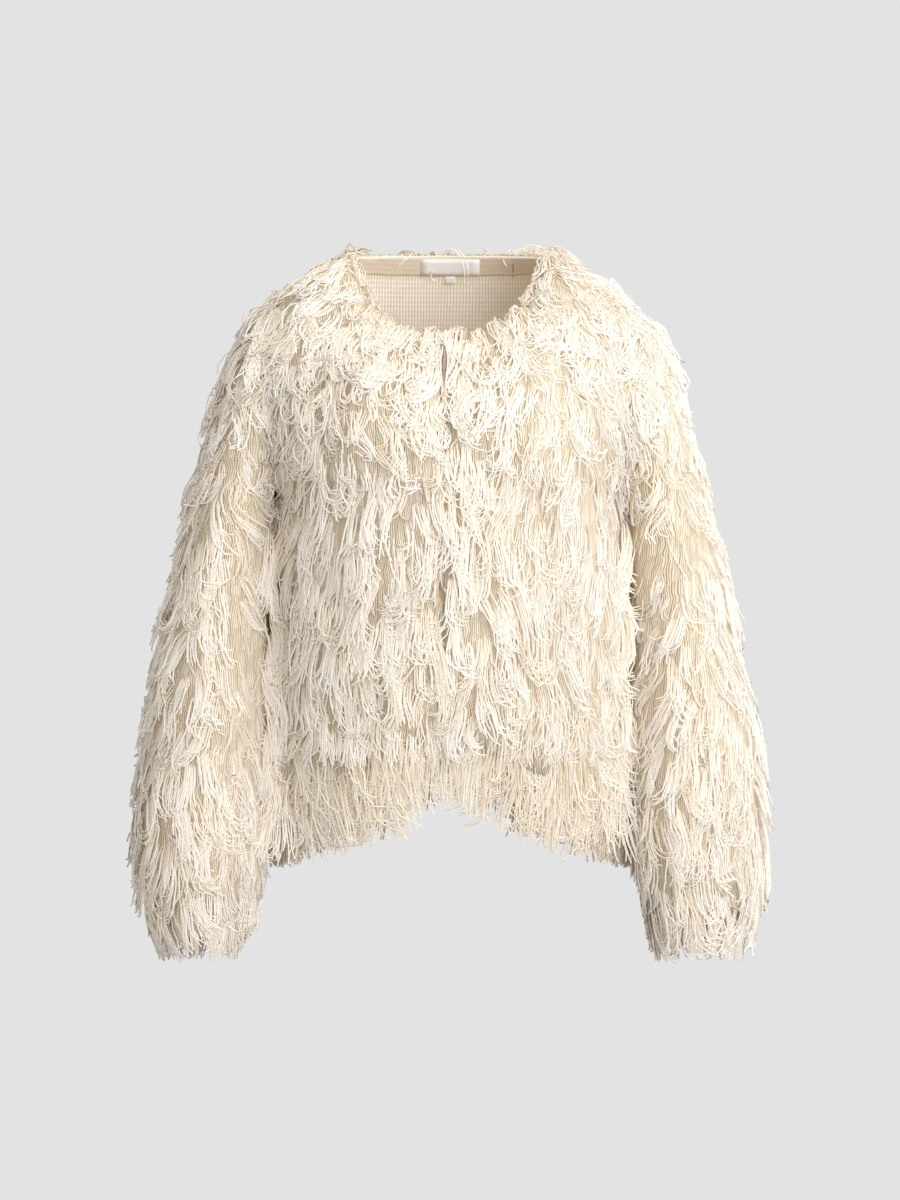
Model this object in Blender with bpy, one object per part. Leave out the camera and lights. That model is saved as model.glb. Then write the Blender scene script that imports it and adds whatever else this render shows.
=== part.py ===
"""A cropped jacket of knitted cloth under a coat of long yarn fringe, in the shape it has on a wearer.

Metres, +Z up. The front faces -Y and the wearer's left is at +X. The origin lies midway between the two
points where the shoulder seams meet the neckline, which is where the wearer's shoulders carry the jacket.

Every cut piece is a wall lofted between two grids of points, one for each face of the cloth. A body panel's
grid runs across from the centre to the side seam and up from the hem to the shoulder; a sleeve's runs round
the arm and down from the armhole to the cuff. The fringe on each piece is a second, thicker wall made from
the same points, moved out. All of it is worked out on the wearer's left and mirrored for the right.
"""

import math

import bmesh
import bpy
from mathutils import Vector
from mathutils.bvhtree import BVHTree

# ------------------------------------------------------------------ cloth and seams
KNIT_WALL = 0.003  # the knitted cloth
BAND_WALL = 0.0015  # the fine knit band inside the back neck
LABEL_WALL = 0.0008
SEAM_GAP = 0.0004  # air between two pieces that meet edge to edge or face to face
COLUMNS = 10  # across half of the body, centre to side
UPPER_ROWS = 8  # from the underarm level to the shoulder
SLEEVE_COLUMNS = 2 * UPPER_ROWS  # round the arm, so that sleeve and body share their points at the armhole

# ------------------------------------------------------------------ neckline, shoulder, armhole
NECK_HALF_WIDTH = 0.092
NECK_SIDE_Z = 0.003
NECK_FRONT = Vector((0.0, -0.082, -0.078))  # lowest point of the front neckline
NECK_BACK = Vector((0.0, 0.062, 0.008))
NECK_SHARE = 0.5  # how far across the top edge the neckline ends and the shoulder seam begins
SHOULDER_TIP = Vector((0.166, 0.0, -0.048))
SHOULDER_CURVE = 1.35
UNDERARM = Vector((0.160, 0.0, -0.218))
ARMHOLE_HALF_DEPTH = 0.061
CHEST_FULLNESS = {"front": 0.008, "back": 0.006}  # how far the upper panel bows out between its edges

# ------------------------------------------------------------------ front opening
OPENING_GAP = 0.0036  # between the two front edges, which meet without overlapping
OPENING_SHIFT = {"neck": 0.004, "hem": 0.010}  # how far it stands towards the wearer's right

# ------------------------------------------------------------------ body below the underarm
# One row for each level, hem first. Heights at the centre front, centre back and side seam, half the
# width, and the depth forward and back from the side seams.
BODY_LEVELS = (
    # z_front  z_back   z_side   half_width  front   back
    (-0.437, -0.446, -0.508, 0.165, 0.110, 0.112),
    (-0.405, -0.411, -0.456, 0.164, 0.117, 0.115),
    (-0.363, -0.367, -0.396, 0.162, 0.121, 0.115),
    (-0.316, -0.318, -0.336, 0.160, 0.125, 0.114),
    (-0.266, -0.267, -0.276, 0.159, 0.128, 0.114),
    (-0.218, -0.218, -0.218, 0.160, 0.128, 0.115),
)
HEM_RISE_POWER = 1.8  # how sharply the hem climbs to the centre

# ------------------------------------------------------------------ sleeve
# One row for each ring, armhole first. The ring's outermost and innermost points, how far its middle is
# brought forward, and half its depth from front to back.
SLEEVE_RINGS = (
    # outer_x  outer_z  inner_x  inner_z  forward  half_depth
    (SHOULDER_TIP.x, SHOULDER_TIP.z, UNDERARM.x, UNDERARM.z, 0.0, ARMHOLE_HALF_DEPTH),
    (0.185, -0.066, 0.1640, -0.223, 0.001, 0.062),
    (0.200, -0.100, 0.1665, -0.232, 0.002, 0.062),
    (0.211, -0.142, 0.1685, -0.246, 0.004, 0.060),
    (0.222, -0.190, 0.1700, -0.268, 0.007, 0.058),
    (0.234, -0.245, 0.1710, -0.300, 0.011, 0.057),
    (0.248, -0.305, 0.1725, -0.342, 0.016, 0.056),
    (0.260, -0.372, 0.1740, -0.398, 0.022, 0.055),
    (0.272, -0.445, 0.1750, -0.462, 0.029, 0.054),
    (0.278, -0.515, 0.1770, -0.525, 0.036, 0.053),
    (0.276, -0.568, 0.1830, -0.572, 0.041, 0.047),
    (0.269, -0.604, 0.1905, -0.604, 0.044, 0.039),
)

# ------------------------------------------------------------------ reach of the fringe
BODY_REACH = 0.019  # how far it stands off the chest and back
SIDE_REACH = 0.010
SHOULDER_REACH = 0.013
NECK_REACH = 0.006
SIDE_POWER = 2.6  # how late across the panel the reach thins to the side's
SLEEVE_OUTER_REACH = (0.013, 0.0125, 0.013, 0.015, 0.017, 0.018, 0.018, 0.020, 0.020, 0.021, 0.020, 0.019)
SLEEVE_INNER_REACH = 0.012
FOLDED_REACH = 0.0012  # where a sleeve and the body fold onto each other
FOLD_OPENS = 0.2  # how fast the reach grows away from such a fold
SHARE_OF_ROOM = 0.36  # of the space between a sleeve and the body, for the fringe on each of them
FARTHEST_NEIGHBOUR = 0.06
# Past a hem or cuff the fringe hangs free: how far down, how far its ring closes in, and how much of its
# reach is left. Lowest row first.
FREE_HEM = (
    # drop   closes_in  left
    (0.070, 0.001, 0.35),
    (0.038, 0.000, 0.75),
)
FREE_CUFF = (
    (0.054, 0.014, 0.35),
    (0.028, 0.005, 0.75),
)

# ------------------------------------------------------------------ neck band, label and size tab
BAND_HEIGHT = 0.020
BAND_ROWS = 2
LABEL_WIDTH, LABEL_HEIGHT = 0.058, 0.017
LABEL_DROP = 0.002  # from the band's top edge to the label's
TAB_WIDTH, TAB_HEIGHT = 0.0095, 0.0075

COLOURS = {
    # material: base colour, roughness
    "knit": ((0.70, 0.62, 0.50), 0.9),
    "fringe": ((0.86, 0.81, 0.72), 0.85),
    "neck_band": ((0.74, 0.66, 0.54), 0.85),
    "label": ((0.88, 0.88, 0.86), 0.5),
}


def lerp(a, b, share):
    return a + (b - a) * share


def mirrored(grid):
    """The same grid on the wearer's other side."""
    return [[Vector((-p.x, p.y, p.z)) for p in row] for row in grid]


# ------------------------------------------------------------------ edge curves of the body panels
def neckline(share, face):
    """A point of the neckline, from the centre (0) to the shoulder seam (1)."""
    turn = share * math.pi / 2
    low = NECK_FRONT if face == "front" else NECK_BACK
    x = NECK_HALF_WIDTH * math.sin(turn)
    return Vector((x, low.y * math.cos(turn), lerp(NECK_SIDE_Z, low.z, math.cos(turn))))


def shoulder_seam(share):
    """A point of the shoulder seam, from the neckline (0) to the tip (1). It slopes more towards the tip."""
    x = lerp(NECK_HALF_WIDTH, SHOULDER_TIP.x, share)
    return Vector((x, 0.0, lerp(NECK_SIDE_Z, SHOULDER_TIP.z, share**SHOULDER_CURVE)))


def top_edge(share, face):
    if share <= NECK_SHARE:
        return neckline(share / NECK_SHARE, face)
    return shoulder_seam((share - NECK_SHARE) / (1 - NECK_SHARE))


def armhole(share, face):
    """A point of the armhole, from the underarm (0) to the shoulder tip (1)."""
    middle = (SHOULDER_TIP + UNDERARM) / 2
    turn = math.pi * (1 - share)
    forward = -1 if face == "front" else 1
    point = middle + (SHOULDER_TIP - middle) * math.cos(turn)
    point.y += forward * ARMHOLE_HALF_DEPTH * math.sin(turn)
    return point


def centre_line(share, face):
    """A point of the centre line, from the underarm level (0) to the neckline (1)."""
    z_front, z_back, _, _, front, back = BODY_LEVELS[-1]
    low = Vector((0.0, -front, z_front)) if face == "front" else Vector((0.0, back, z_back))
    high = NECK_FRONT if face == "front" else NECK_BACK
    fall = share**1.9  # the chest stays full and then leans in to the neck
    return Vector((0.0, lerp(low.y, high.y, fall), lerp(low.z, high.z, share)))


# ------------------------------------------------------------------ grids of the body panels
def level_row(level, face):
    """A row of a body panel below the underarm: a quarter of an ellipse, its height rising to the centre."""
    z_front, z_back, z_side, half_width, front, back = level
    z_centre, depth = (z_front, -front) if face == "front" else (z_back, back)
    row = []
    for j in range(COLUMNS + 1):
        share = j / COLUMNS
        turn = share * math.pi / 2
        z = lerp(z_side, z_centre, (1 - share) ** HEM_RISE_POWER)
        row.append(Vector((half_width * math.sin(turn), depth * math.cos(turn), z)))
    return row


def upper_row(up, face):
    """A row above the underarm: a Coons patch between centre line, armhole, chest row and top edge."""
    chest = level_row(BODY_LEVELS[-1], face)
    tops = [top_edge(j / COLUMNS, face) for j in range(COLUMNS + 1)]
    inner, outer = centre_line(up, face), armhole(up, face)
    outward = Vector((0, -1 if face == "front" else 1, 0))
    row = []
    for j in range(COLUMNS + 1):
        across = j / COLUMNS
        sides = inner.lerp(outer, across)
        ends = chest[j].lerp(tops[j], up)
        corners = chest[0].lerp(chest[-1], across).lerp(tops[0].lerp(tops[-1], across), up)
        bow = CHEST_FULLNESS[face] * math.sin(math.pi * across) * math.sin(math.pi * up)
        row.append(sides + ends - corners + outward * bow)
    return row


def panel_grid(face):
    """Rows of points over half of the front or back, hem first, each from the centre to the side."""
    rows = [level_row(level, face) for level in BODY_LEVELS]
    rows += [upper_row(i / UPPER_ROWS, face) for i in range(1, UPPER_ROWS + 1)]
    backwards = SEAM_GAP / 2 * (-1 if face == "front" else 1)
    armhole_gap = Vector((-SEAM_GAP / 2, 0, 0))
    for i, row in enumerate(rows):
        for j, point in enumerate(row):
            on_shoulder = i == len(rows) - 1 and j >= COLUMNS * NECK_SHARE
            if j == COLUMNS or on_shoulder:
                point.y += backwards
            if j == COLUMNS and i >= len(BODY_LEVELS) - 1:
                point += armhole_gap
    return rows


def opened_at_front(grid, side):
    """The front's grid with its centre edge moved to one side of the opening, which leans."""
    rows = []
    for i, row in enumerate(grid):
        shift = lerp(OPENING_SHIFT["hem"], OPENING_SHIFT["neck"], i / (len(grid) - 1))
        line = []
        for j, point in enumerate(row):
            near = (1 - j / COLUMNS) ** 2
            line.append(point + Vector(((OPENING_GAP / 2 - side * shift) * near, 0, 0)))
        rows.append(line)
    return rows


# ------------------------------------------------------------------ which way is out
def armhole_radial(point):
    """Straight out from the middle of the armhole, in its own plane."""
    middle = (SHOULDER_TIP + UNDERARM) / 2
    offset = point - middle
    offset.x = 0
    return offset.normalized()


def surface_normals(grid, closed):
    """A unit normal for each point of a grid, from its neighbours; closed says that rows are rings."""
    columns = len(grid[0])
    normals = []
    for i, row in enumerate(grid):
        above = grid[min(i + 1, len(grid) - 1)]
        below = grid[max(i - 1, 0)]
        line = []
        for j in range(columns):
            after = (j + 1) % columns if closed else min(j + 1, columns - 1)
            before = (j - 1) % columns if closed else max(j - 1, 0)
            line.append((row[after] - row[before]).cross(above[j] - below[j]).normalized())
        normals.append(line)
    return normals


def panel_outward(grid, face):
    """The way out of a body panel at each point. Pieces that meet at a seam share one direction there."""
    ways = surface_normals(grid, closed=False)
    if face == "back":
        ways = [[-way for way in line] for line in ways]
    seam = (SHOULDER_TIP - Vector((NECK_HALF_WIDTH, 0, NECK_SIDE_Z))).normalized()
    off_shoulder = Vector((0, 1, 0)).cross(seam)
    off_shoulder *= 1 if off_shoulder.z > 0 else -1
    for i, line in enumerate(ways):
        line[0] = Vector((0, line[0].y, line[0].z)).normalized()
        line[-1] = armhole_radial(grid[i][-1]) if i >= len(BODY_LEVELS) - 1 else Vector((1, 0, 0))
    for j in range(int(COLUMNS * NECK_SHARE), COLUMNS):
        ways[-1][j] = off_shoulder.copy()
    return ways


def into_body(ways, grid):
    """The way in through a panel's wall. At the armhole it turns from the seam's plane into the body."""
    inward = [[-way for way in line] for line in ways]
    for i in range(len(BODY_LEVELS) - 1, len(grid)):
        fold = armhole_fold(grid[i][-1])
        inward[i][-1] = (inward[i][-1] + Vector((-fold, 0, 0))).normalized()
    return inward


def armhole_fold(point):
    """How sharply body and sleeve fold against each other: 0 at the shoulder tip, 1 at the underarm."""
    return (SHOULDER_TIP.z - point.z) / (SHOULDER_TIP.z - UNDERARM.z)


# ------------------------------------------------------------------ sleeves
def sleeve_ring(ring):
    """The points round one ring, starting at its outermost point and passing the front first."""
    outer_x, outer_z, inner_x, inner_z, forward, half_depth = ring
    outer, inner = Vector((outer_x, -forward, outer_z)), Vector((inner_x, -forward, inner_z))
    middle = (outer + inner) / 2
    points = []
    for j in range(SLEEVE_COLUMNS):
        turn = 2 * math.pi * j / SLEEVE_COLUMNS
        point = middle + (outer - middle) * math.cos(turn)
        point.y -= half_depth * math.sin(turn)
        points.append(point)
    return points


def sleeve_grid():
    rows = [sleeve_ring(ring) for ring in SLEEVE_RINGS]
    for point in rows[0]:
        point.x += SEAM_GAP / 2
    return rows


def sleeve_outward(grid):
    ways = surface_normals(grid, closed=True)
    ways[0] = [armhole_radial(point) for point in grid[0]]
    return ways


def into_sleeve(ways, grid):
    inward = [[-way for way in line] for line in ways]
    for j, point in enumerate(grid[0]):
        inward[0][j] = (inward[0][j] + Vector((armhole_fold(point), 0, 0))).normalized()
    return inward


# ------------------------------------------------------------------ reach of the fringe
def panel_reach(i, j):
    """How far the fringe stands off a body panel: full in front and behind, thin under the arm."""
    across = j / COLUMNS
    if i < len(BODY_LEVELS):
        return lerp(BODY_REACH, SIDE_REACH, across**SIDE_POWER)
    up = (i - len(BODY_LEVELS) + 1) / UPPER_ROWS
    along_shoulder = max(0.0, across - NECK_SHARE) / (1 - NECK_SHARE)
    at_top = lerp(NECK_REACH, SHOULDER_REACH, along_shoulder)
    at_armhole = lerp(SIDE_REACH, SHOULDER_REACH, up)
    return lerp(lerp(BODY_REACH, at_top, up**2), at_armhole, across**SIDE_POWER)


def sleeve_reach(i, j):
    """How far the fringe stands off a sleeve: most on the outer side."""
    facing_out = (1 + math.cos(2 * math.pi * j / SLEEVE_COLUMNS)) / 2
    return lerp(SLEEVE_INNER_REACH, SLEEVE_OUTER_REACH[i], facing_out)


def with_free_rows(grid, ways, reaches, table, centre):
    """A grid whose first row is a hem or cuff, with the rows of fringe that hang free below that edge put
    before it. Points, ways out and reaches."""
    points, outs, spans = list(grid), list(ways), list(reaches)
    for drop, closes_in, left in reversed(table):
        row = []
        for point in grid[0]:
            towards = Vector((centre.x - point.x, centre.y - point.y, 0)).normalized()
            row.append(point + towards * closes_in - Vector((0, 0, drop)))
        points.insert(0, row)
        outs.insert(0, [Vector((way.x, way.y, 0)).normalized() for way in ways[0]])
        spans.insert(0, [reach * left for reach in reaches[0]])
    return points, outs, spans


def surface_of(*grids):
    """The surface through some grids, for finding what a piece faces. Rings are given with closed rows."""
    points, faces = [], []
    for grid in grids:
        first, columns = len(points), len(grid[0])
        points += [point for row in grid for point in row]
        for i in range(len(grid) - 1):
            for j in range(columns - 1):
                corner = first + i * columns + j
                faces.append((corner, corner + 1, corner + columns + 1, corner + columns))
    return BVHTree.FromPolygons(points, faces)


def folded_reach(point):
    """The reach along the armhole seam: full at the shoulder tip, nothing to speak of at the underarm."""
    return lerp(SHOULDER_REACH, FOLDED_REACH, armhole_fold(point) ** 0.8)


def within_room(points, outs, spans, neighbour, armhole_points):
    """The reaches, held to their share of the way across to the piece that each point faces, and growing
    slowly from the armhole seam, where sleeve and body fold together."""
    held = []
    for line in zip(points, outs, spans, strict=True):
        row = []
        for point, out, reach in zip(*line, strict=True):
            across = neighbour.ray_cast(point, out, FARTHEST_NEIGHBOUR)[3]
            room = FARTHEST_NEIGHBOUR if across is None else across
            from_fold = min(folded_reach(seam) + FOLD_OPENS * (point - seam).length for seam in armhole_points)
            row.append(max(FOLDED_REACH, min(reach, SHARE_OF_ROOM * room, from_fold)))
        held.append(row)
    return held


# ------------------------------------------------------------------ making solids
def material(name):
    found = bpy.data.materials.get(name)
    if found:
        return found
    colour, roughness = COLOURS[name]
    made = bpy.data.materials.new(name)
    made.use_nodes = True
    shader = made.node_tree.nodes["Principled BSDF"]
    shader.inputs["Base Color"].default_value = (*colour, 1.0)
    shader.inputs["Roughness"].default_value = roughness
    shader.inputs["Metallic"].default_value = 0.0
    return made


def wall(name, first, second, closed, finish, collection):
    """One closed solid lofted between two grids of the same size: both faces, and the rim that joins them."""
    rows, columns = len(first), len(first[0])
    bm = bmesh.new()
    faces = [[[bm.verts.new(point) for point in row] for row in grid] for grid in (first, second)]
    spans = columns if closed else columns - 1
    for i in range(rows - 1):
        for j in range(spans):
            k = (j + 1) % columns
            for grid in faces:
                bm.faces.new((grid[i][j], grid[i][k], grid[i + 1][k], grid[i + 1][j]))
    outer, inner = faces
    for i in (0, rows - 1):
        for j in range(spans):
            k = (j + 1) % columns
            bm.faces.new((outer[i][j], outer[i][k], inner[i][k], inner[i][j]))
    if not closed:
        for j in (0, columns - 1):
            for i in range(rows - 1):
                bm.faces.new((outer[i][j], outer[i + 1][j], inner[i + 1][j], inner[i][j]))
    bmesh.ops.recalc_face_normals(bm, faces=bm.faces)
    bmesh.ops.triangulate(bm, faces=bm.faces)
    mesh = bpy.data.meshes.new(name)
    bm.to_mesh(mesh)
    bm.free()
    mesh.shade_smooth()
    mesh.set_sharp_from_angle(angle=math.radians(50))
    made = bpy.data.objects.new(name, mesh)
    made.data.materials.append(material(finish))
    collection.objects.link(made)
    return made


def moved(grid, ways, distance):
    """Each point moved along its way, by a number or by a grid of numbers."""
    far = distance if isinstance(distance, list) else [[distance] * len(row) for row in grid]
    return [
        [point + way * step for point, way, step in zip(*line, strict=True)]
        for line in zip(grid, ways, far, strict=True)
    ]


def both_halves(grid):
    """A half grid, centre to side, joined to its mirror image at the centre."""
    return [other[:0:-1] + row for other, row in zip(mirrored(grid), grid, strict=True)]


# ------------------------------------------------------------------ the pieces
class Panel:
    """Half of a body panel on the wearer's left: its cloth, and its fringe down to the free ends."""

    def __init__(self, face, grid):
        self.grid = grid
        self.ways = panel_outward(grid, face)
        self.inner = moved(grid, into_body(self.ways, grid), KNIT_WALL)
        reaches = [[panel_reach(i, j) for j in range(COLUMNS + 1)] for i in range(len(grid))]
        self.fringe = with_free_rows(grid, self.ways, reaches, FREE_HEM, Vector((0, 0, 0)))

    def coat(self, sleeve):
        """The outer and the inner face of the fringe."""
        points, outs, spans = self.fringe
        held = within_room(points, outs, spans, sleeve.surface, sleeve.grid[-1])
        inner = moved(points, outs, SEAM_GAP)
        return moved(inner, outs, held), inner


class Sleeve:
    """The sleeve on the wearer's left, its rings given from the cuff up to the armhole."""

    def __init__(self):
        grid = sleeve_grid()
        ways = sleeve_outward(grid)
        inner = moved(grid, into_sleeve(ways, grid), KNIT_WALL)
        reaches = [[sleeve_reach(i, j) for j in range(SLEEVE_COLUMNS)] for i in range(len(grid))]
        self.grid, self.inner = grid[::-1], inner[::-1]
        cuff = SLEEVE_RINGS[-1]
        centre = Vector(((cuff[0] + cuff[2]) / 2, -cuff[4], 0))
        self.fringe = with_free_rows(self.grid, ways[::-1], reaches[::-1], FREE_CUFF, centre)
        self.surface = surface_of([[*row, row[0]] for row in self.fringe[0]])

    def coat(self, body_surface):
        points, outs, spans = self.fringe
        held = within_room(points, outs, spans, body_surface, self.grid[-1])
        inner = moved(points, outs, SEAM_GAP)
        return moved(inner, outs, held), inner


def on_side(side, *grids):
    """The grids as they are for the wearer's left (1), or mirrored for the right (-1)."""
    return grids if side > 0 else tuple(mirrored(grid) for grid in grids)


def build_back(panel, sleeve, collection):
    wall("back", both_halves(panel.grid), both_halves(panel.inner), False, "knit", collection)
    outer, under = panel.coat(sleeve)
    wall("fringe_back", both_halves(outer), both_halves(under), False, "fringe", collection)


def build_front(side, name, sleeve, collection):
    panel = Panel("front", opened_at_front(panel_grid("front"), side))
    outer, under = panel.coat(sleeve)
    wall("front_" + name, *on_side(side, panel.grid, panel.inner), False, "knit", collection)
    wall("fringe_front_" + name, *on_side(side, outer, under), False, "fringe", collection)


def build_sleeve(side, name, sleeve, body_surface, collection):
    outer, under = sleeve.coat(body_surface)
    wall("sleeve_" + name, *on_side(side, sleeve.grid, sleeve.inner), True, "knit", collection)
    wall("fringe_sleeve_" + name, *on_side(side, outer, under), True, "fringe", collection)


def neck_strip(grid, ways, half_width, top, height, rows):
    """A strip inside the back neck: points on the back panel, half_width to each side of the centre and
    from top to top + height below the neckline, with the way out at each."""
    last = int(COLUMNS * NECK_SHARE)
    widths = [grid[-1][j].x for j in range(last + 1)]
    columns = [j for j in range(last + 1) if widths[j] < half_width - 0.002]
    points, outs = [], []
    for i in range(rows + 1):
        drop = top + height * i / rows
        line, line_ways = [], []
        for j in [*columns, None]:
            if j is None:
                j = next(k for k in range(last) if widths[k + 1] >= half_width - 1e-6)
                share = (half_width - widths[j]) / (widths[j + 1] - widths[j])
                high = grid[-1][j].lerp(grid[-1][j + 1], share)
                low = grid[-2][j].lerp(grid[-2][j + 1], share)
                way = ways[-1][j].lerp(ways[-1][j + 1], share)
            else:
                high, low, way = grid[-1][j], grid[-2][j], ways[-1][j]
            line.append(high + (low - high).normalized() * drop)
            line_ways.append(way.normalized())
        points.append(line)
        outs.append(line_ways)
    return points, outs


def build_neck_trim(back, collection):
    """The fine band inside the back neck, the label sewn to it and the small tab below the label."""
    grid, ways = back.grid, back.ways
    half_band = NECK_HALF_WIDTH - 0.004
    points, outs = neck_strip(grid, ways, half_band, 0.0, BAND_HEIGHT, BAND_ROWS)
    depth = KNIT_WALL + SEAM_GAP
    near = moved(points, outs, -depth)
    far = moved(points, outs, -depth - BAND_WALL)
    wall("neck_band", both_halves(near), both_halves(far), False, "neck_band", collection)

    depth += BAND_WALL + SEAM_GAP
    points, outs = neck_strip(grid, ways, LABEL_WIDTH / 2, LABEL_DROP, LABEL_HEIGHT, 1)
    near = moved(points, outs, -depth)
    far = moved(points, outs, -depth - LABEL_WALL)
    wall("label", both_halves(near), both_halves(far), False, "label", collection)

    drop = LABEL_DROP + LABEL_HEIGHT + SEAM_GAP
    points, outs = neck_strip(grid, ways, TAB_WIDTH / 2, drop, TAB_HEIGHT, 1)
    near = moved(points, outs, -depth)
    far = moved(points, outs, -depth - LABEL_WALL)
    wall("size_tab", both_halves(near), both_halves(far), False, "label", collection)


def main():
    for old in list(bpy.data.objects):
        bpy.data.objects.remove(old, do_unlink=True)
    jacket = bpy.data.collections.new("fringed_jacket")
    bpy.context.scene.collection.children.link(jacket)
    back = Panel("back", panel_grid("back"))
    front = Panel("front", panel_grid("front"))
    sleeve = Sleeve()
    body_surface = surface_of(back.fringe[0], front.fringe[0])
    build_back(back, sleeve, jacket)
    for side, name in ((1, "left"), (-1, "right")):
        build_front(side, name, sleeve, jacket)
        build_sleeve(side, name, sleeve, body_surface, jacket)
    build_neck_trim(back, jacket)


main()
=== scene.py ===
# %% [markdown]
# # A shaggy cream jacket
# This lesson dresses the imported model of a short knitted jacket. The real jacket is a plain
# coarse knit, and thousands of loose yarn ends are looped into it until no knit shows outside.
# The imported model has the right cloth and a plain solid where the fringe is. Here each piece of
# cloth gets its stitches, and each plain solid gives way to yarn.

import math
from collections import namedtuple

import bmesh
import bpy
import numpy as np
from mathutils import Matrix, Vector, noise
from mathutils.bvhtree import BVHTree


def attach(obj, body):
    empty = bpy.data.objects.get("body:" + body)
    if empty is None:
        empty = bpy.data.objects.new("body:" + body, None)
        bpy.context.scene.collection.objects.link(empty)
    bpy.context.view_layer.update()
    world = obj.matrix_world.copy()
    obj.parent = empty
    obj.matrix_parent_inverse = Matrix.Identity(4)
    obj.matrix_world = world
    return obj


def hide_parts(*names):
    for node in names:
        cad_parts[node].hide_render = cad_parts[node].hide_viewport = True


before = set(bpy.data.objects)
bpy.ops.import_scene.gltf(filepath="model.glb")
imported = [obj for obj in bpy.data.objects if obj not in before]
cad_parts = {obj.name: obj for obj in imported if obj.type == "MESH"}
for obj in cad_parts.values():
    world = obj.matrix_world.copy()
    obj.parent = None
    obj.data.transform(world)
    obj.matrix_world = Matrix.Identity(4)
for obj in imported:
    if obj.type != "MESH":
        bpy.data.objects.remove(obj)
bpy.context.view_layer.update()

# %% [markdown]
# ## Camera
# A long lens from well in front, level with the middle of the jacket, keeps the sleeves and the
# hem in true proportion. A short lens close up would swell the chest. The lens length comes from
# how much of the scene has to fit in the height of the frame.

# %% Camera
CAMERA_DISTANCE = 6.0
FRAME_MIDDLE = -0.316
FRAME_HEIGHT = 1.116


def placed(name, data):
    """A new object in the scene that holds the data."""
    made = bpy.data.objects.new(name, data)
    bpy.context.scene.collection.objects.link(made)
    return made


camera = placed("camera", bpy.data.cameras.new("camera"))
camera.location = (0, -CAMERA_DISTANCE, FRAME_MIDDLE)
camera.rotation_euler = (math.pi / 2, 0, 0)
camera.data.lens = camera.data.sensor_width * CAMERA_DISTANCE / FRAME_HEIGHT
bpy.context.scene.camera = camera
print("lens", round(camera.data.lens, 1), "mm")

# %% [markdown]
# ## Arithmetic in a shader
# A stitch or a twist is arithmetic on the place that is looked at: waves, products and powers.
# Math nodes can be placed and linked one by one, but then the sum is hard to read back. So a
# small class stands for a number in a shader, and plain sums of it place the Math nodes.


# %% Numbers in a shader
class Number:
    """A number that changes over a surface."""

    def __init__(self, socket):
        self.socket = socket

    def __add__(self, other):
        return maths("ADD", self, other)

    def __mul__(self, other):
        return maths("MULTIPLY", self, other)

    def __truediv__(self, other):
        return maths("DIVIDE", self, other)

    def __pow__(self, other):
        return maths("POWER", self, other)

    def __rsub__(self, other):
        return maths("SUBTRACT", other, self)

    def __rtruediv__(self, other):
        return maths("DIVIDE", other, self)


def feed(value, socket):
    """Links a Number or an output to a socket, or sets the socket to a plain value."""
    source = value.socket if isinstance(value, Number) else value
    if isinstance(source, bpy.types.NodeSocket):
        socket.id_data.links.new(source, socket)
    else:
        socket.default_value = source


def maths(operation, *values):
    """The result of a Math node that is fed with Numbers and plain numbers."""
    tree = next(value.socket.id_data for value in values if isinstance(value, Number))
    node = tree.nodes.new("ShaderNodeMath")
    node.operation = operation
    for value, socket in zip(values, node.inputs):
        feed(value, socket)
    return Number(node.outputs[0])


print("sums of shader numbers become Math nodes")

# %% [markdown]
# ## Waves and blends
# Two shapes make up most patterns in cloth: a wave that rises and falls evenly, for rows and
# twists, and a row of round arches, for yarns side by side. A blend turns such a number into a
# colour. A Mix node has inputs for numbers, vectors and colours, so its share and its two
# colours are taken by their place in the list.

# %% Waves and blends
MIX_SHARE, MIX_FIRST, MIX_SECOND, MIX_RESULT = 0, 6, 7, 2


def wave(angle):
    """1 at every full turn of the angle, and 0 half way between."""
    return maths("COSINE", angle) * 0.5 + 0.5


def arch_over(position):
    """A half round arch over every whole step of the position."""
    return maths("SINE", maths("FRACT", position) * math.pi)


def blend(share, first, second):
    """A colour between two colours, the first one where the share is 0."""
    node = share.socket.id_data.nodes.new("ShaderNodeMix")
    node.data_type = "RGBA"
    for value, number in ((share, MIX_SHARE), (first, MIX_FIRST), (second, MIX_SECOND)):
        feed(value, node.inputs[number])
    return node.outputs[MIX_RESULT]


def colour(red, green, blue):
    return (red, green, blue, 1.0)


def read(node, label):
    return Number(node.outputs[label])


print("a Mix node takes its colours at", MIX_FIRST, "and", MIX_SECOND)

# %% [markdown]
# ## Nodes that every material needs
# Each material here is a Principled shader with some plain values, a few groups and a bump. The
# plain values go straight on the shader's own sockets. Helpers for these keep the materials
# short enough to read.


# %% Material helpers
def new_material(name, settings):
    """A material with plain values set. Returns it with its tree and its shader."""
    made = bpy.data.materials.new(name)
    made.use_nodes = True
    shader = made.node_tree.nodes["Principled BSDF"]
    for label, value in settings.items():
        shader.inputs[label].default_value = value
    return made, made.node_tree, shader


def new_group(name, inputs, outputs):
    """An empty shader group, and the nodes that hold its inputs and its outputs."""
    group = bpy.data.node_groups.new(name, "ShaderNodeTree")
    for way, sockets in (("INPUT", inputs), ("OUTPUT", outputs)):
        for label, kind in sockets.items():
            group.interface.new_socket(label, in_out=way, socket_type="NodeSocket" + kind)
    return group, group.nodes.new("NodeGroupInput"), group.nodes.new("NodeGroupOutput")


def use_group(tree, group, values):
    node = tree.nodes.new("ShaderNodeGroup")
    node.node_tree = group
    for label, value in values.items():
        feed(value, node.inputs[label])
    return node


def map_of(tree, name):
    """The output of a piece's own map."""
    node = tree.nodes.new("ShaderNodeUVMap")
    node.uv_map = name
    return node.outputs[0]


def across_and_along(tree, vector):
    node = tree.nodes.new("ShaderNodeSeparateXYZ")
    feed(vector, node.inputs[0])
    return Number(node.outputs[0]), Number(node.outputs[1])


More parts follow.
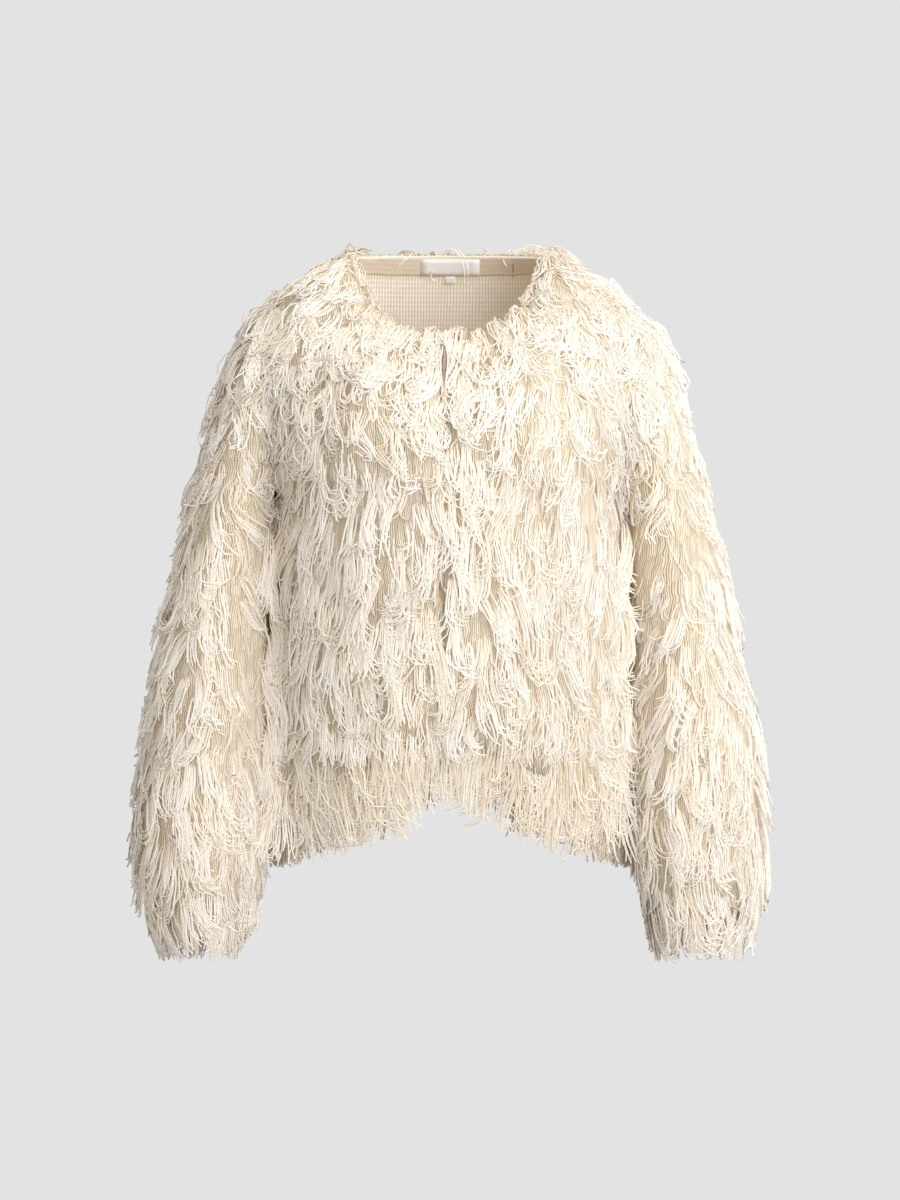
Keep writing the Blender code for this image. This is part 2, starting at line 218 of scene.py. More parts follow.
def chance_of(tree, number):
    """A fixed random number from 0 to 1 for each whole number."""
    node = tree.nodes.new("ShaderNodeTexWhiteNoise")
    node.noise_dimensions = "1D"
    feed(number, node.inputs["W"])
    return read(node, "Value")


def raise_relief(tree, shader, height, strength, depth):
    bump = tree.nodes.new("ShaderNodeBump")
    bump.inputs["Strength"].default_value = strength
    bump.inputs["Distance"].default_value = depth
    feed(height, bump.inputs["Height"])
    feed(bump.outputs["Normal"], shader.inputs["Normal"])


print("material helpers are ready")

# %% [markdown]
# ## Light in wool
# Light goes round between thousands of ends of wool dozens of times, and some goes straight
# through them. Following every bounce would take hours. So the rays that carry light find wool
# partly clear, and what bounces off it is a warmer cream than what is seen. The rays that the
# camera looks along find all of it solid and of its plain colour.

# %% Light that gets through
BOUNCED_CREAM = colour(1.0, 0.83, 0.57)
# The shares of a lamp's light, and of light that has bounced, that go through.
KNIT_LETS_THROUGH, YARN_LETS_THROUGH = 0.82, 0.92
KNIT_BOUNCED, YARN_BOUNCED, BED_BOUNCED = 0.3, 0.4, 0.5


def filters_light(tree, shader, direct_share, bounced_share):
    """Lets shares of the lamps' light and of bounced light through to what lies behind."""
    rays = tree.nodes.new("ShaderNodeLightPath")
    direct = read(rays, "Is Shadow Ray") * direct_share
    bounced = read(rays, "Is Diffuse Ray") * bounced_share
    feed(1.0 - maths("MAXIMUM", direct, bounced), shader.inputs["Alpha"])


def seen_and_lit(tree, seen, lit):
    """The colour that the camera sees, and another one for the light that leaves it."""
    rays = tree.nodes.new("ShaderNodeLightPath")
    return blend(read(rays, "Is Camera Ray"), lit, seen)


print("yarn lets", YARN_LETS_THROUGH, "of a lamp's light through, and knit", KNIT_LETS_THROUGH)

# %% [markdown]
# ## Studio floor and sky
# A white jacket on pale grey needs soft light from all round, or the yarn turns to chalk and
# soot. A dome of lamps would do, but a sky of one pale grey is simpler. A wide floor far below
# glows with the same grey, so that no horizon shows from any side. What the two cast on the
# jacket is a little darker and warmer than what the camera sees.

# %% Floor and sky
FLOOR = -1.30
FLOOR_RADIUS = 60.0
FLOOR_SIDES = 64
BACKGROUND = 0.767
WHITE = colour(1.0, 1.0, 1.0)
SKY_TINT = colour(0.80, 0.775, 0.74)
PAPER_TINT = colour(0.62, 0.605, 0.58)

floor_mesh = bpy.data.meshes.new("studio_floor")
floor_bm = bmesh.new()
bmesh.ops.create_circle(floor_bm, cap_ends=True, segments=FLOOR_SIDES, radius=FLOOR_RADIUS)
bmesh.ops.translate(floor_bm, verts=floor_bm.verts, vec=(0, 0, FLOOR))
floor_bm.to_mesh(floor_mesh)
floor_bm.free()

paper, tree, shader = new_material("grey_paper", {
    "Base Color": colour(0, 0, 0), "Roughness": 1.0, "Specular IOR Level": 0.0,
    "Emission Strength": BACKGROUND})
feed(seen_and_lit(tree, WHITE, PAPER_TINT), shader.inputs["Emission Color"])
floor_mesh.materials.append(paper)
placed("studio_floor", floor_mesh)

sky = bpy.data.worlds.new("studio_sky")
sky.use_nodes = True
glow = sky.node_tree.nodes["Background"]
glow.inputs["Strength"].default_value = BACKGROUND
feed(seen_and_lit(sky.node_tree, WHITE, SKY_TINT), glow.inputs["Color"])
bpy.context.scene.world = sky
bpy.context.scene.view_settings.view_transform = "Standard"
print("studio floor at", FLOOR)

# %% [markdown]
# ## Lamps
# Five square soft boxes give the jacket its form. The key stands above and to the right, the
# front box lower and further off, and the side box further round. So the right sleeve in the
# frame is bright and the left one falls into soft shade, which the left box opens a little. The
# back box is for views from behind. All of them are slightly cool, against the warm sky.

# %% Soft boxes
LAMP_TINT = (0.942, 0.962, 1.0)
LAMPS = (  # name, place, what it looks at, side in metres, power in watts
    ("key_softbox", (1.1, -1.3, 1.0), (0.05, 0, -0.18), 1.3, 20),
    ("front_softbox", (1.3, -2.5, 0.35), (0, 0, -0.25), 1.8, 33),
    ("side_softbox", (2.2, -1.6, 0.7), (0.15, 0, -0.25), 1.6, 29),
    ("left_softbox", (-2.4, -1.6, -0.1), (0, 0, -0.35), 1.8, 4),
    ("back_softbox", (-1.2, 3.2, 0.9), (0, 0, -0.3), 1.8, 90),
)
for name, place, aim, size, power in LAMPS:
    light = bpy.data.lights.new(name, "AREA")
    light.size = size
    light.energy = power
    light.color = LAMP_TINT
    lamp = placed(name, light)
    lamp.location = place
    lamp.rotation_euler = (Vector(aim) - Vector(place)).to_track_quat("-Z", "Y").to_euler()
    lamp.visible_camera = False
print(len(LAMPS), "lamps")

# %% [markdown]
# ## The knit stitch
# Plain knit is upright wales of loops, crossed by rows. Looping real yarn would take a million
# faces, and the cloth only shows in the neck. So the stitch is two waves on a map that is laid
# on the cloth in metres. One goes across for the wales. The other goes up for the rows, and it
# leans with the wales, because each loop is a V. Every second row is thicker, since that is
# where fringe is looped in.

# %% The knit stitch group
WALE_LEAN = 1.6
ROW_PART, THICK_ROW_PART, WALE_PART = 0.28, 0.50, 0.22
WALE_FULLNESS = 0.6
GAP_SHARPNESS = 1.5

stitches, given, out = new_group(
    "knit_stitch", {"Cloth Map": "Vector", "Wale Width": "Float", "Course Height": "Float"},
    {"Stitch Height": "Float", "Gap": "Float"})
across, along_it = across_and_along(stitches, given.outputs["Cloth Map"])
wale = wave(across / read(given, "Wale Width") * (2 * math.pi))
leaning = along_it / read(given, "Course Height") * (2 * math.pi) + wale * WALE_LEAN
rows = wave(leaning) * ROW_PART + wave(leaning * 0.5) * THICK_ROW_PART
height = wale ** WALE_FULLNESS * (rows + WALE_PART)
feed(height, out.inputs["Stitch Height"])
feed((1.0 - height) ** GAP_SHARPNESS, out.inputs["Gap"])
print(stitches.name, len(stitches.nodes), "nodes")

# %% [markdown]
# ## The drift of tone
# Undyed yarn isn't one even cream. A soft noise in Object coordinates gives each patch of cloth
# or thread its own tone, and the patch size is the group's one input.

# %% The tone drift group
drift, given, out = new_group("tone_drift", {"Patch Size": "Float"}, {"Tone": "Float"})
place = drift.nodes.new("ShaderNodeTexCoord")
cloud = drift.nodes.new("ShaderNodeTexNoise")
cloud.inputs["Detail"].default_value = 4.0
feed(place.outputs["Object"], cloud.inputs["Vector"])
feed(1.0 / read(given, "Patch Size"), cloud.inputs["Scale"])
feed(cloud.outputs["Fac"], out.inputs["Tone"])
print(drift.name, len(drift.nodes), "nodes")

# %% [markdown]
# ## Knit and woven materials
# The stitch group paints shade into the holes between the loops and lifts the loops through a
# Bump node, and the drift group keeps two hand widths of cloth from being one flat colour. Wool
# scatters light at a glance, so the sheen is on and the gloss is low. The label is the same weave
# in miniature, smoother and whiter, like satin.

# %% Cloth materials
PATCH = 0.04
GAP_SHADE, PATCH_SHADE = 0.80, 0.30
STITCH_STRENGTH = 0.8


def cloth_material(name, light_tone, dark_tone, wale, course, relief, roughness, sheen):
    made, tree, shader = new_material(name, {
        "Roughness": roughness, "Specular IOR Level": 0.25, "Sheen Weight": sheen,
        "Sheen Roughness": 0.5})
    stitch = use_group(tree, stitches, {
        "Cloth Map": map_of(tree, "cloth_metres"), "Wale Width": wale, "Course Height": course})
    patches = use_group(tree, drift, {"Patch Size": PATCH})
    # The holes between the loops get painted shade, and the drift adds the yarn's own patchy tone.
    shade = read(stitch, "Gap") * GAP_SHADE + read(patches, "Tone") * PATCH_SHADE
    seen = blend(shade, light_tone, dark_tone)
    feed(seen_and_lit(tree, seen, BOUNCED_CREAM), shader.inputs["Base Color"])
    raise_relief(tree, shader, read(stitch, "Stitch Height"), STITCH_STRENGTH, relief)
    filters_light(tree, shader, KNIT_LETS_THROUGH, KNIT_BOUNCED)
    return made


knit_yarn = cloth_material(
    "coarse_knit", colour(1.0, 0.98, 0.93), colour(0.70, 0.61, 0.49),
    wale=0.0029, course=0.0021, relief=0.0006, roughness=0.9, sheen=0.3)
band_yarn = cloth_material(
    "fine_band_knit", colour(0.76, 0.67, 0.54), colour(0.58, 0.48, 0.36),
    wale=0.0016, course=0.0022, relief=0.0003, roughness=0.9, sheen=0.25)
label_satin = cloth_material(
    "label_satin", colour(0.86, 0.85, 0.83), colour(0.70, 0.69, 0.66),
    wale=0.0005, course=0.0004, relief=0.00008, roughness=0.55, sheen=0.10)
print("cloth materials", knit_yarn.name, band_yarn.name, label_satin.name)

# %% [markdown]
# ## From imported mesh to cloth
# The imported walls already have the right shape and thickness, so they aren't modelled again.
# But they are loose triangles, which can't be rounded. A copy of each is welded, and its pairs
# of triangles become squares again. The thin edges of the wall are creased, so that a level of
# subdivision rounds the cloth and leaves its edges crisp.

# %% Weld, crease and finish
RIM_ANGLE = math.radians(50)
WELD = 1e-5


def welded(node):
    """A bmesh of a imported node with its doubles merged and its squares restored."""
    bm = bmesh.new()
    bm.from_mesh(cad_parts[node].data)
    bmesh.ops.remove_doubles(bm, verts=bm.verts, dist=WELD)
    bmesh.ops.join_triangles(bm, faces=bm.faces, angle_face_threshold=math.radians(12),
                             angle_shape_threshold=math.radians(60))
    return bm


def crease_rims(bm, crease):
    """Keeps the thin edges of the wall crisp when it is subdivided."""
    layer = bm.edges.layers.float.new("crease_edge")
    for edge in bm.edges:
        if edge.is_manifold and edge.calc_face_angle() > RIM_ANGLE:
            edge[layer] = crease


def shown(name, mesh, material):
    """A piece on the root body, with its material."""
    mesh.materials.append(material)
    piece = placed(name, mesh)
    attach(piece, "root")
    return piece


def finished(name, bm, material, levels):
    """Turns a bmesh into a shown piece, rounded by subdivision."""
    mesh = bpy.data.meshes.new(name)
    bm.to_mesh(mesh)
    bm.free()
    mesh.shade_smooth()
    piece = shown(name, mesh, material)
    if levels:
        rounding = piece.modifiers.new("rounding", "SUBSURF")
        rounding.levels = levels
        rounding.render_levels = levels
    return piece


print("edges sharper than", round(math.degrees(RIM_ANGLE)), "degrees are kept crisp")

# %% [markdown]
# ## The cloth's own map
# Stitches have to stay one size and follow the cloth, so the map is laid by hand, in metres.
# Unwrapping would tilt and stretch it. On a sleeve it goes round the arm's middle line one way
# and down it the other. On a panel of the body it starts at the panel's upright middle line.

# %% Lay the map
ARM_RADIUS = 0.050
SLICE = 0.03
MIDDLE_STRIP = 0.03


def axis_through(bm):
    """The middles of a sleeve, as a function of height."""
    heights = np.linspace(-0.60, -0.06, 28)
    middles = []
    for height in heights:
        near = [vert.co for vert in bm.verts if abs(vert.co.z - float(height)) < SLICE]
        middles.append(sum(near, Vector()) / max(len(near), 1))
    return lambda height: middles[int(np.abs(heights - height).argmin())]


def lay_map(bm, middle_at, radius):
    """Adds the map cloth_metres: distance round an upright axis, and height."""
    layer = bm.loops.layers.uv.new("cloth_metres")
    for face in bm.faces:
        centre = face.calc_center_median()
        middle = middle_at(centre.z)
        away = centre - middle
        first = math.atan2(away.x, -away.y)
        for loop in face.loops:
            off = loop.vert.co - middle
            turn = math.atan2(off.x, -off.y)
            turn += 2 * math.pi * round((first - turn) / (2 * math.pi))
            loop[layer].uv = (turn * radius, loop.vert.co.z)


def lay_panel_map(bm):
    """The same for a panel: distance from its upright middle line, and height."""
    near = [(vert.co.z, vert.co.y) for vert in bm.verts if abs(vert.co.x) < MIDDLE_STRIP]
    middle_line = np.poly1d(np.polyfit(*zip(*near), 5))
    layer = bm.loops.layers.uv.new("cloth_metres")
    for vert in bm.verts:
        reach = math.hypot(vert.co.x, vert.co.y - float(middle_line(vert.co.z)))
        for loop in vert.link_loops:
            loop[layer].uv = (math.copysign(reach, vert.co.x), vert.co.z)


print("a sleeve's map goes round a radius of", ARM_RADIUS)

# %% [markdown]
# ## Creases
# A worn knit is never quite smooth: it dents towards the underarm, inside the elbow and at the
# waist. A cloth simulation could find such creases, but not in chosen places. So each one is a
# short line on the map, with a width and a depth, and the wall sinks along it, both faces
# together. Subdivision then softens the trough.

# %% Press in the creases
CREASES = {  # start and end on the map, width and depth, all in metres
    "back": (((-0.105, -0.235), (-0.060, -0.300), 0.026, 0.0045),
             ((0.112, -0.262), (0.070, -0.352), 0.024, 0.0036),
             ((-0.030, -0.395), (-0.012, -0.310), 0.026, 0.0028)),
    "front_left": (((0.122, -0.245), (0.075, -0.312), 0.024, 0.0042),
                   ((0.104, -0.350), (0.124, -0.432), 0.022, 0.0028)),
    "front_right": (((-0.126, -0.262), (-0.086, -0.318), 0.026, 0.0036),
                    ((-0.098, -0.372), (-0.118, -0.446), 0.022, 0.0030)),
    "sleeve_left": (((-0.100, -0.300), (-0.030, -0.332), 0.024, 0.0055),
                    ((-0.090, -0.372), (-0.022, -0.356), 0.022, 0.0034),
                    ((0.100, -0.215), (0.060, -0.262), 0.026, 0.0030)),
    "sleeve_right": (((0.096, -0.310), (0.024, -0.342), 0.026, 0.0050),
                     ((0.092, -0.386), (0.040, -0.374), 0.020, 0.0030),
                     ((-0.104, -0.236), (-0.058, -0.270), 0.024, 0.0034)),
}


def body_middle(height):
    return Vector((0, 0, height))


def pressed(bm, creases, middle_at):
    """Sinks soft troughs into a wall, both of its faces together."""
    layer = bm.loops.layers.uv["cloth_metres"]
    bm.normal_update()
    moves = []
    for vert in bm.verts:
        place = vert.link_loops[0][layer].uv
        sunk = 0.0
        for start, end, width, depth in creases:
            line = Vector(end) - Vector(start)
            share = min(max((place - Vector(start)).dot(line) / line.length_squared, 0), 1)
            off = (place - Vector(start) - line * share).length
            sunk += depth * math.exp(-(off / width) ** 2)
        away = vert.co - middle_at(vert.co.z)
        inward = -vert.normal if vert.normal.dot(away) > 0 else vert.normal.copy()
        moves.append(inward * sunk)
    for vert, move in zip(bm.verts, moves):
        vert.co += move


print(sum(len(creases) for creases in CREASES.values()), "creases")

# %% [markdown]
# ## The knitted pieces
# Back, two fronts and two sleeves, each its own piece as it comes off the needles. They are
# sewn at the shoulders, the sides and the armholes, and the seams are narrow gaps between them.

# %% Make the knit
BODY_PANELS = ("back", "front_left", "front_right")
SLEEVES = ("sleeve_left", "sleeve_right")
KNITTED = BODY_PANELS + SLEEVES
KNIT_RIM = 0.8

sleeve_axis = {}
for node in KNITTED:
    bm = welded(node)
    if node in SLEEVES:
        sleeve_axis[node] = axis_through(bm)
        lay_map(bm, sleeve_axis[node], ARM_RADIUS)
    else:
        lay_panel_map(bm)
    pressed(bm, CREASES[node], sleeve_axis.get(node, body_middle))
    crease_rims(bm, KNIT_RIM)
    finished("knit_" + node, bm, knit_yarn, 1)
    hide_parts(node)

# %% [markdown]
# ## Neck band, label and size tab
# Inside the back neck a smooth narrow band covers the seam. A woven label is sewn on it by its
# two short ends, and a small tab hangs from the label. Both are bare. They are small, so they
# are welded copies too, with their map laid round the neck.

# %% Neck trims
NECK_BACK = -0.02
NECK_RADIUS = 0.085
TRIMS = (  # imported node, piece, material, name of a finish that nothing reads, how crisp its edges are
    ("neck_band", "neck_band_cloth", band_yarn, "neck_band", 0.8),
    ("label", "woven_label", label_satin, "label", 1.0),
    ("size_tab", "bare_tab", label_satin, "label", 1.0),
)
for node, name, material, slot, crease in TRIMS:
    bm = welded(node)
    lay_map(bm, lambda height: Vector((0, NECK_BACK, height)), NECK_RADIUS)
    crease_rims(bm, crease)
    finished(name, bm, material, 2)
    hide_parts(node)

# %% [markdown]
# ## The yarn ends: where they grow and how they lie
# The fringe is about twenty-five thousand yarn ends. Hair particles would be quick, but they
# render as curves and leave no mesh behind, and one by one in edit mode would never end. So each
# end is a path worked out with arrays, and all the ends of a piece become one joined mesh.
#
# The paths keep asking where the cloth is nearest, and which way it faces there. Trees of the
# packed triangles answer that quickly, for hundreds of paths at once.


# %% Trees of the cloth
def triangles(node):
    """(points, corner numbers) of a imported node, as arrays."""
    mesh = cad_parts[node].data
    mesh.calc_loop_triangles()
    points = np.empty(len(mesh.vertices) * 3)
    mesh.vertices.foreach_get("co", points)
    corners = np.empty(len(mesh.loop_triangles) * 3, int)
    mesh.loop_triangles.foreach_get("vertices", corners)
    return points.reshape(-1, 3), corners.reshape(-1, 3)


def tree_of(nodes):
    points, corners = [], []
    for node in nodes:
        own_points, own_corners = triangles(node)
        corners += (own_corners + len(points)).tolist()
        points += own_points.tolist()
    return BVHTree.FromPolygons(points, corners)


cloth_tree = tree_of(KNITTED)
body_tree = tree_of(BODY_PANELS)
coat_tree = tree_of("fringe_" + node for node in KNITTED)


def dot(a, b):
    return (a * b).sum(-1, keepdims=True)


def unit(a):
    return a / np.maximum(np.linalg.norm(a, axis=-1, keepdims=True), 1e-9)


def smooth(t):
    """0 below 0 and 1 above 1, with a soft step between."""
    t = np.clip(t, 0, 1)
    return t * t * (3 - 2 * t)


def nearest(points, cloth_near):
    """The nearest spot of cloth to each point, and the way it faces."""
    found = [cloth_near.find_nearest(point) for point in points.tolist()]
    return np.array([spot[0] for spot in found]), np.array([spot[1] for spot in found])


chest_spot, chest_facing = nearest(np.array([[0.08, -0.2, -0.25]]), cloth_tree)
print("the chest faces", chest_facing[0].round(2))

# %% [markdown]
# ## The room over the cloth
# The plain fringe solid says how thick the coat is everywhere, so a lock has that much room and
# no more. A ray from the cloth finds the solid's outer side. Two coats meet at a seam, so a ray
# that leaves one through its edge goes on into the next.

# %% Measure the room
SKIN = 0.0009
SEAM = 0.0004
DEFAULT_ROOM, LEAST_ROOM, MOST_ROOM = 0.010, 0.011, 0.035
SEAMS_CROSSED = 5


def room_at(spot, way):
    """How thick the coat may be over one spot of cloth, past any seam between two coats."""
    start, gone = spot + way * SKIN, SKIN
    for _ in range(SEAMS_CROSSED):
        hit, facing, _, length = coat_tree.ray_cast(start, way, MOST_ROOM)
        if hit is None:
            return DEFAULT_ROOM
        gone += length
        if facing.dot(way) > 0.35:
            return gone
        start = hit + way * SEAM
        gone += SEAM
    return gone


def room_over(spots, facing):
    rooms = [room_at(Vector(s), Vector(f)) for s, f in zip(spots.tolist(), facing.tolist())]
    return np.maximum(np.array(rooms)[:, None], LEAST_ROOM)


print("room over the chest", round(float(room_over(chest_spot, chest_facing)[0, 0]), 4))

# %% [markdown]
# ## The valleys beside the arms
# Between the front of the body and each sleeve there is a deep valley, and the fringe of the
# body hangs across it. Locks that followed the cloth would dive into it and leave a dark gap.
# So they follow a curtain instead: a sagging sheet from the body's front to the sleeve's front,
# which is never shown. It is a grid of quads in rows from the underarm to below the hem.

# %% Hang the curtains
VALLEY_BODY_X, VALLEY_ARM_X = 0.135, 0.197
VALLEY_TOP, VALLEY_FOOT = -0.23, -0.60
VALLEY_SAG = 0.010


def front_of(tree, x, height):
    """How far forward the cloth stands at a place, and nothing where there is none."""
    hit = tree.ray_cast((x, -1, height), (0, 1, 0))[0]
    return None if hit is None else hit.y


def curtain(side):
    """A tree of the sagging sheet between the body and one sleeve."""
    arm_tree = tree_of(["sleeve_left" if side > 0 else "sleeve_right"])
    points, faces = [], []
    heights, shares = np.linspace(VALLEY_TOP, VALLEY_FOOT, 16), np.linspace(0, 1, 6)
    ends = [0.0, 0.0]
    for height in heights:
        found = (front_of(body_tree, side * VALLEY_BODY_X, height),
                 front_of(arm_tree, side * VALLEY_ARM_X, height))
        ends = [old if new is None else new for new, old in zip(found, ends)]
        for t in shares:
            x = VALLEY_BODY_X + (VALLEY_ARM_X - VALLEY_BODY_X) * t
            y = ends[0] + (ends[1] - ends[0]) * t + VALLEY_SAG * math.sin(math.pi * t)
            points.append((side * x, y, height))
    wide = len(shares)
    for row in range(len(heights) - 1):
        for column in range(wide - 1):
            a = row * wide + column
            face = (a, a + wide, a + wide + 1, a + 1)
            faces.append(face if side > 0 else face[::-1])
    return BVHTree.FromPolygons(points, faces)


valley_tree = {"front_left": curtain(1), "front_right": curtain(-1)}
facing_y = valley_tree["front_left"].find_nearest((0.165, -0.2, -0.4))[1].y
print("the curtain faces forward by", round(-facing_y, 2))

# %% [markdown]
# ## The edge round the neck
# At the neck the fringe is fullest and stands up over the edge, so the ends need to know how
# near the edge they grow. Its points are the sharp edges of the three body panels that lie
# inside an oval a little wider than the neck.

# %% Find the neck's edge
NECK_OVAL = (0.094, 0.086)
NECK_REACH = 0.020


def neck_edge():
    """Points along the cloth's edge round the neck."""
    points = []
    for node in BODY_PANELS:
        bm = welded(node)
        for edge in bm.edges:
            middle = (edge.verts[0].co + edge.verts[1].co) / 2
            inside = (middle.x / NECK_OVAL[0]) ** 2 + (middle.y / NECK_OVAL[1]) ** 2 < 1
            if inside and edge.is_manifold and edge.calc_face_angle() > RIM_ANGLE:
                points.append(list(middle))
        bm.free()
    return np.array(points)


neck_points = neck_edge()


def near_neck(spots):
    """1 at the neck's edge, falling to 0 some way from it."""
    gaps = np.linalg.norm(spots[:, None] - neck_points[None], axis=2).min(1)
    return smooth(1 - gaps / NECK_REACH)[:, None]


print("neck edge", len(neck_points), "points")

# %% [markdown]
# ## Roots
# An end grows only from the outer side of the cloth, so a triangle of the wall counts when the
# plain fringe solid lies right over it. Roots are scattered over those triangles by area, and
# more thickly along the top, where no ends hang down from above to cover them.

# %% Scatter the roots
RIGHT_OVER = 0.0016


def outer_side(node):
    """(corners, facing, area) of the triangles that the fringe lies on."""
    points, corners = triangles(node)
    over = tree_of(["fringe_" + node])
    tri = points[corners]
    across = np.cross(tri[:, 1] - tri[:, 0], tri[:, 2] - tri[:, 0])
    area = np.linalg.norm(across, axis=1) / 2
    facing = unit(across)
    keep = [over.ray_cast(centre, way, RIGHT_OVER)[0] is not None
            for centre, way in zip(tri.mean(1).tolist(), facing.tolist())]
    keep = np.array(keep) & (area > 1e-9)
    return tri[keep], facing[keep], area[keep]


def scatter(side, count, chance, rng):
    """Spots on the outer side, more of them where chance(centres) is high."""
    tri, facing, area = side
    weight = area * chance(tri.mean(1))
    pick = rng.choice(len(tri), count, p=weight / weight.sum())
    a, b = rng.random((2, count, 1))
    fold = a + b > 1
    a, b = np.where(fold, 1 - a, a), np.where(fold, 1 - b, b)
    corner, second, third = tri[pick, 0], tri[pick, 1], tri[pick, 2]
    return corner + a * (second - corner) + b * (third - corner), facing[pick]


outer = {node: outer_side(node) for node in KNITTED}
for node, (_, _, area) in outer.items():
    print(node, "outer side", round(float(area.sum()), 4), "square metres")

# %% [markdown]
# ## Where the roots are thick
# Each layer of fringe has its own places. A chance for every triangle says how likely a root is
# there, and the scattering takes care of the rest.

# %% Chances
SIDE_X = 0.120
SIDE_TOP = -0.235
HEM_TOP = -0.405
RARELY = 1e-4


def even(centres):
    return np.ones(len(centres))


def fuller_on_top(centres):
    """Twice as thick on the shoulders, and up to six times along the neck's edge."""
    return 1.0 + smooth((centres[:, 2] + 0.16) / 0.10) + 4.0 * near_neck(centres)[:, 0]


def near_hem(centres):
    return (centres[:, 2] < HEM_TOP) + RARELY


def beside_the_arm(centres):
    """Only along the side of the front, next to the sleeve."""
    return ((np.abs(centres[:, 0]) > SIDE_X) & (centres[:, 2] < SIDE_TOP)) + RARELY


print("hem locks grow below", HEM_TOP)

# %% [markdown]
# ## How a lock strays
# Ends never hang straight. A lock leans to one side, swings back, and hooks at its tip. A slow
# breeze over the whole coat makes neighbours lean alike. On the chest and shoulders the ends are
# short of room to hang, so they stray most there. At the valley beside each arm, locks of both
# sides drift over it, and the line where they meet is uneven, or it would show as a parting.

# %% Straying
WILD_TOP, WILD_END = -0.10, -0.25
CALM_SHARE = 0.15
SLEEVE_DRIFT, BODY_DRIFT = -2.0, 0.8


def wildness(spots):
    """1 on the chest and shoulders, falling to a small share lower down."""
    high = smooth((spots[:, 2:3] - WILD_END) / (WILD_TOP - WILD_END))
    return CALM_SHARE + (1 - CALM_SHARE) * high


def turned(way, axis, angle):
    """Directions turned about axes by angles."""
    across = np.cross(axis, way)
    upright = axis * dot(axis, way) * (1 - np.cos(angle))
    return way * np.cos(angle) + across * np.sin(angle) + upright


def wander(roots, rng):
    """The angle that each lock strays by, as a function of the share along it."""
    count = len(roots)
    wild = wildness(roots)
    x, y, z = roots[:, :1], roots[:, 1:2], roots[:, 2:3]
    # The breeze leans neighbours alike. Lean, swing and hook are each lock's own.
    breeze = 0.16 * np.sin(29 * x + 19 * z + 3 * y) + 0.12 * np.sin(61 * z - 43 * x + 1.3)
    lean = breeze + rng.normal(0, 1, (count, 1)) * (0.07 + 0.22 * wild)
    swing = rng.uniform(0.5, 1.3, (count, 1)) * (0.20 + 0.42 * wild)
    rate = rng.uniform(0.5, 1.15, (count, 1))
    phase = rng.uniform(0, 2 * math.pi, (count, 1))
    hook = rng.normal(0, 1, (count, 1)) * (0.45 + 0.85 * wild)

    def angle(s):
        swung = swing * np.sin(2 * math.pi * rate * s + phase)
        return lean + swung + hook * smooth((s - 0.55) / 0.45)
    return angle


def towards(spots, out):
    """A drift across the valley between sleeve and body, from both sides."""
    side, off = np.sign(spots[:, :1]), np.abs(spots[:, :1])
    height = spots[:, 2:3]
    meeting = 0.164 + 0.009 * np.sin(75 * height + 2 * side) + 0.006 * np.sin(171 * height)
    # Only the inner side of a sleeve, the outer edge of the body, and the heights between.
    inner = smooth((0.45 - out[:, :1] * side) / 0.6) * smooth((0.215 - off) / 0.04)
    outer_part = smooth((off - 0.115) / 0.04)
    between = smooth((-0.12 - height) / 0.06) * smooth((height + 0.53) / 0.06)
    drift = np.where(off > meeting, SLEEVE_DRIFT * inner, BODY_DRIFT * outer_part)
    return np.concatenate([side * drift * between, 0 * spots[:, :2]], axis=1)


low = wildness(np.array([[0, 0, -0.4]]))[0, 0]
print("low down, a lock strays", round(float(low), 2), "of what it does on the chest")

# %% [markdown]
# ## How a lock falls
# A real fringe falls in locks, so only one leading end of each lock is walked, a step at a time.
# It goes straight down where the cloth hangs away, slides along the cloth where it doesn't, and
# hangs plumb past an edge. It rises from its root through the coat, and its tip lies on top.
# Near the neck it first stands up or leans in over the edge, and then falls over.

# %% Walk the leading ends
DOWN = np.array([0.0, 0.0, -1.0])
NECK_MIDDLE = np.array([0.0, -0.035, 0.035])
ROOT_DEPTH, FIRST_HEIGHT = 0.0006, 0.0015
MOMENTUM = 0.35
EDGE_TUCK = 0.22
HOLD = 0.7


def is_past_edge(points, spots, facing):
    """True where the nearest cloth is an edge above, or an underside."""
    off = unit(points - spots)
    beside = (dot(off, facing) < 0.85) & (off[:, 2:3] < -0.15)
    return beside | (facing[:, 2:3] < -0.6)


def coat_height(s, tall):
    """Share of the room that a lock is up at, a share s along it."""
    return (0.15 + 0.50 * smooth(s / 0.4) + 0.35 * s * s) * tall


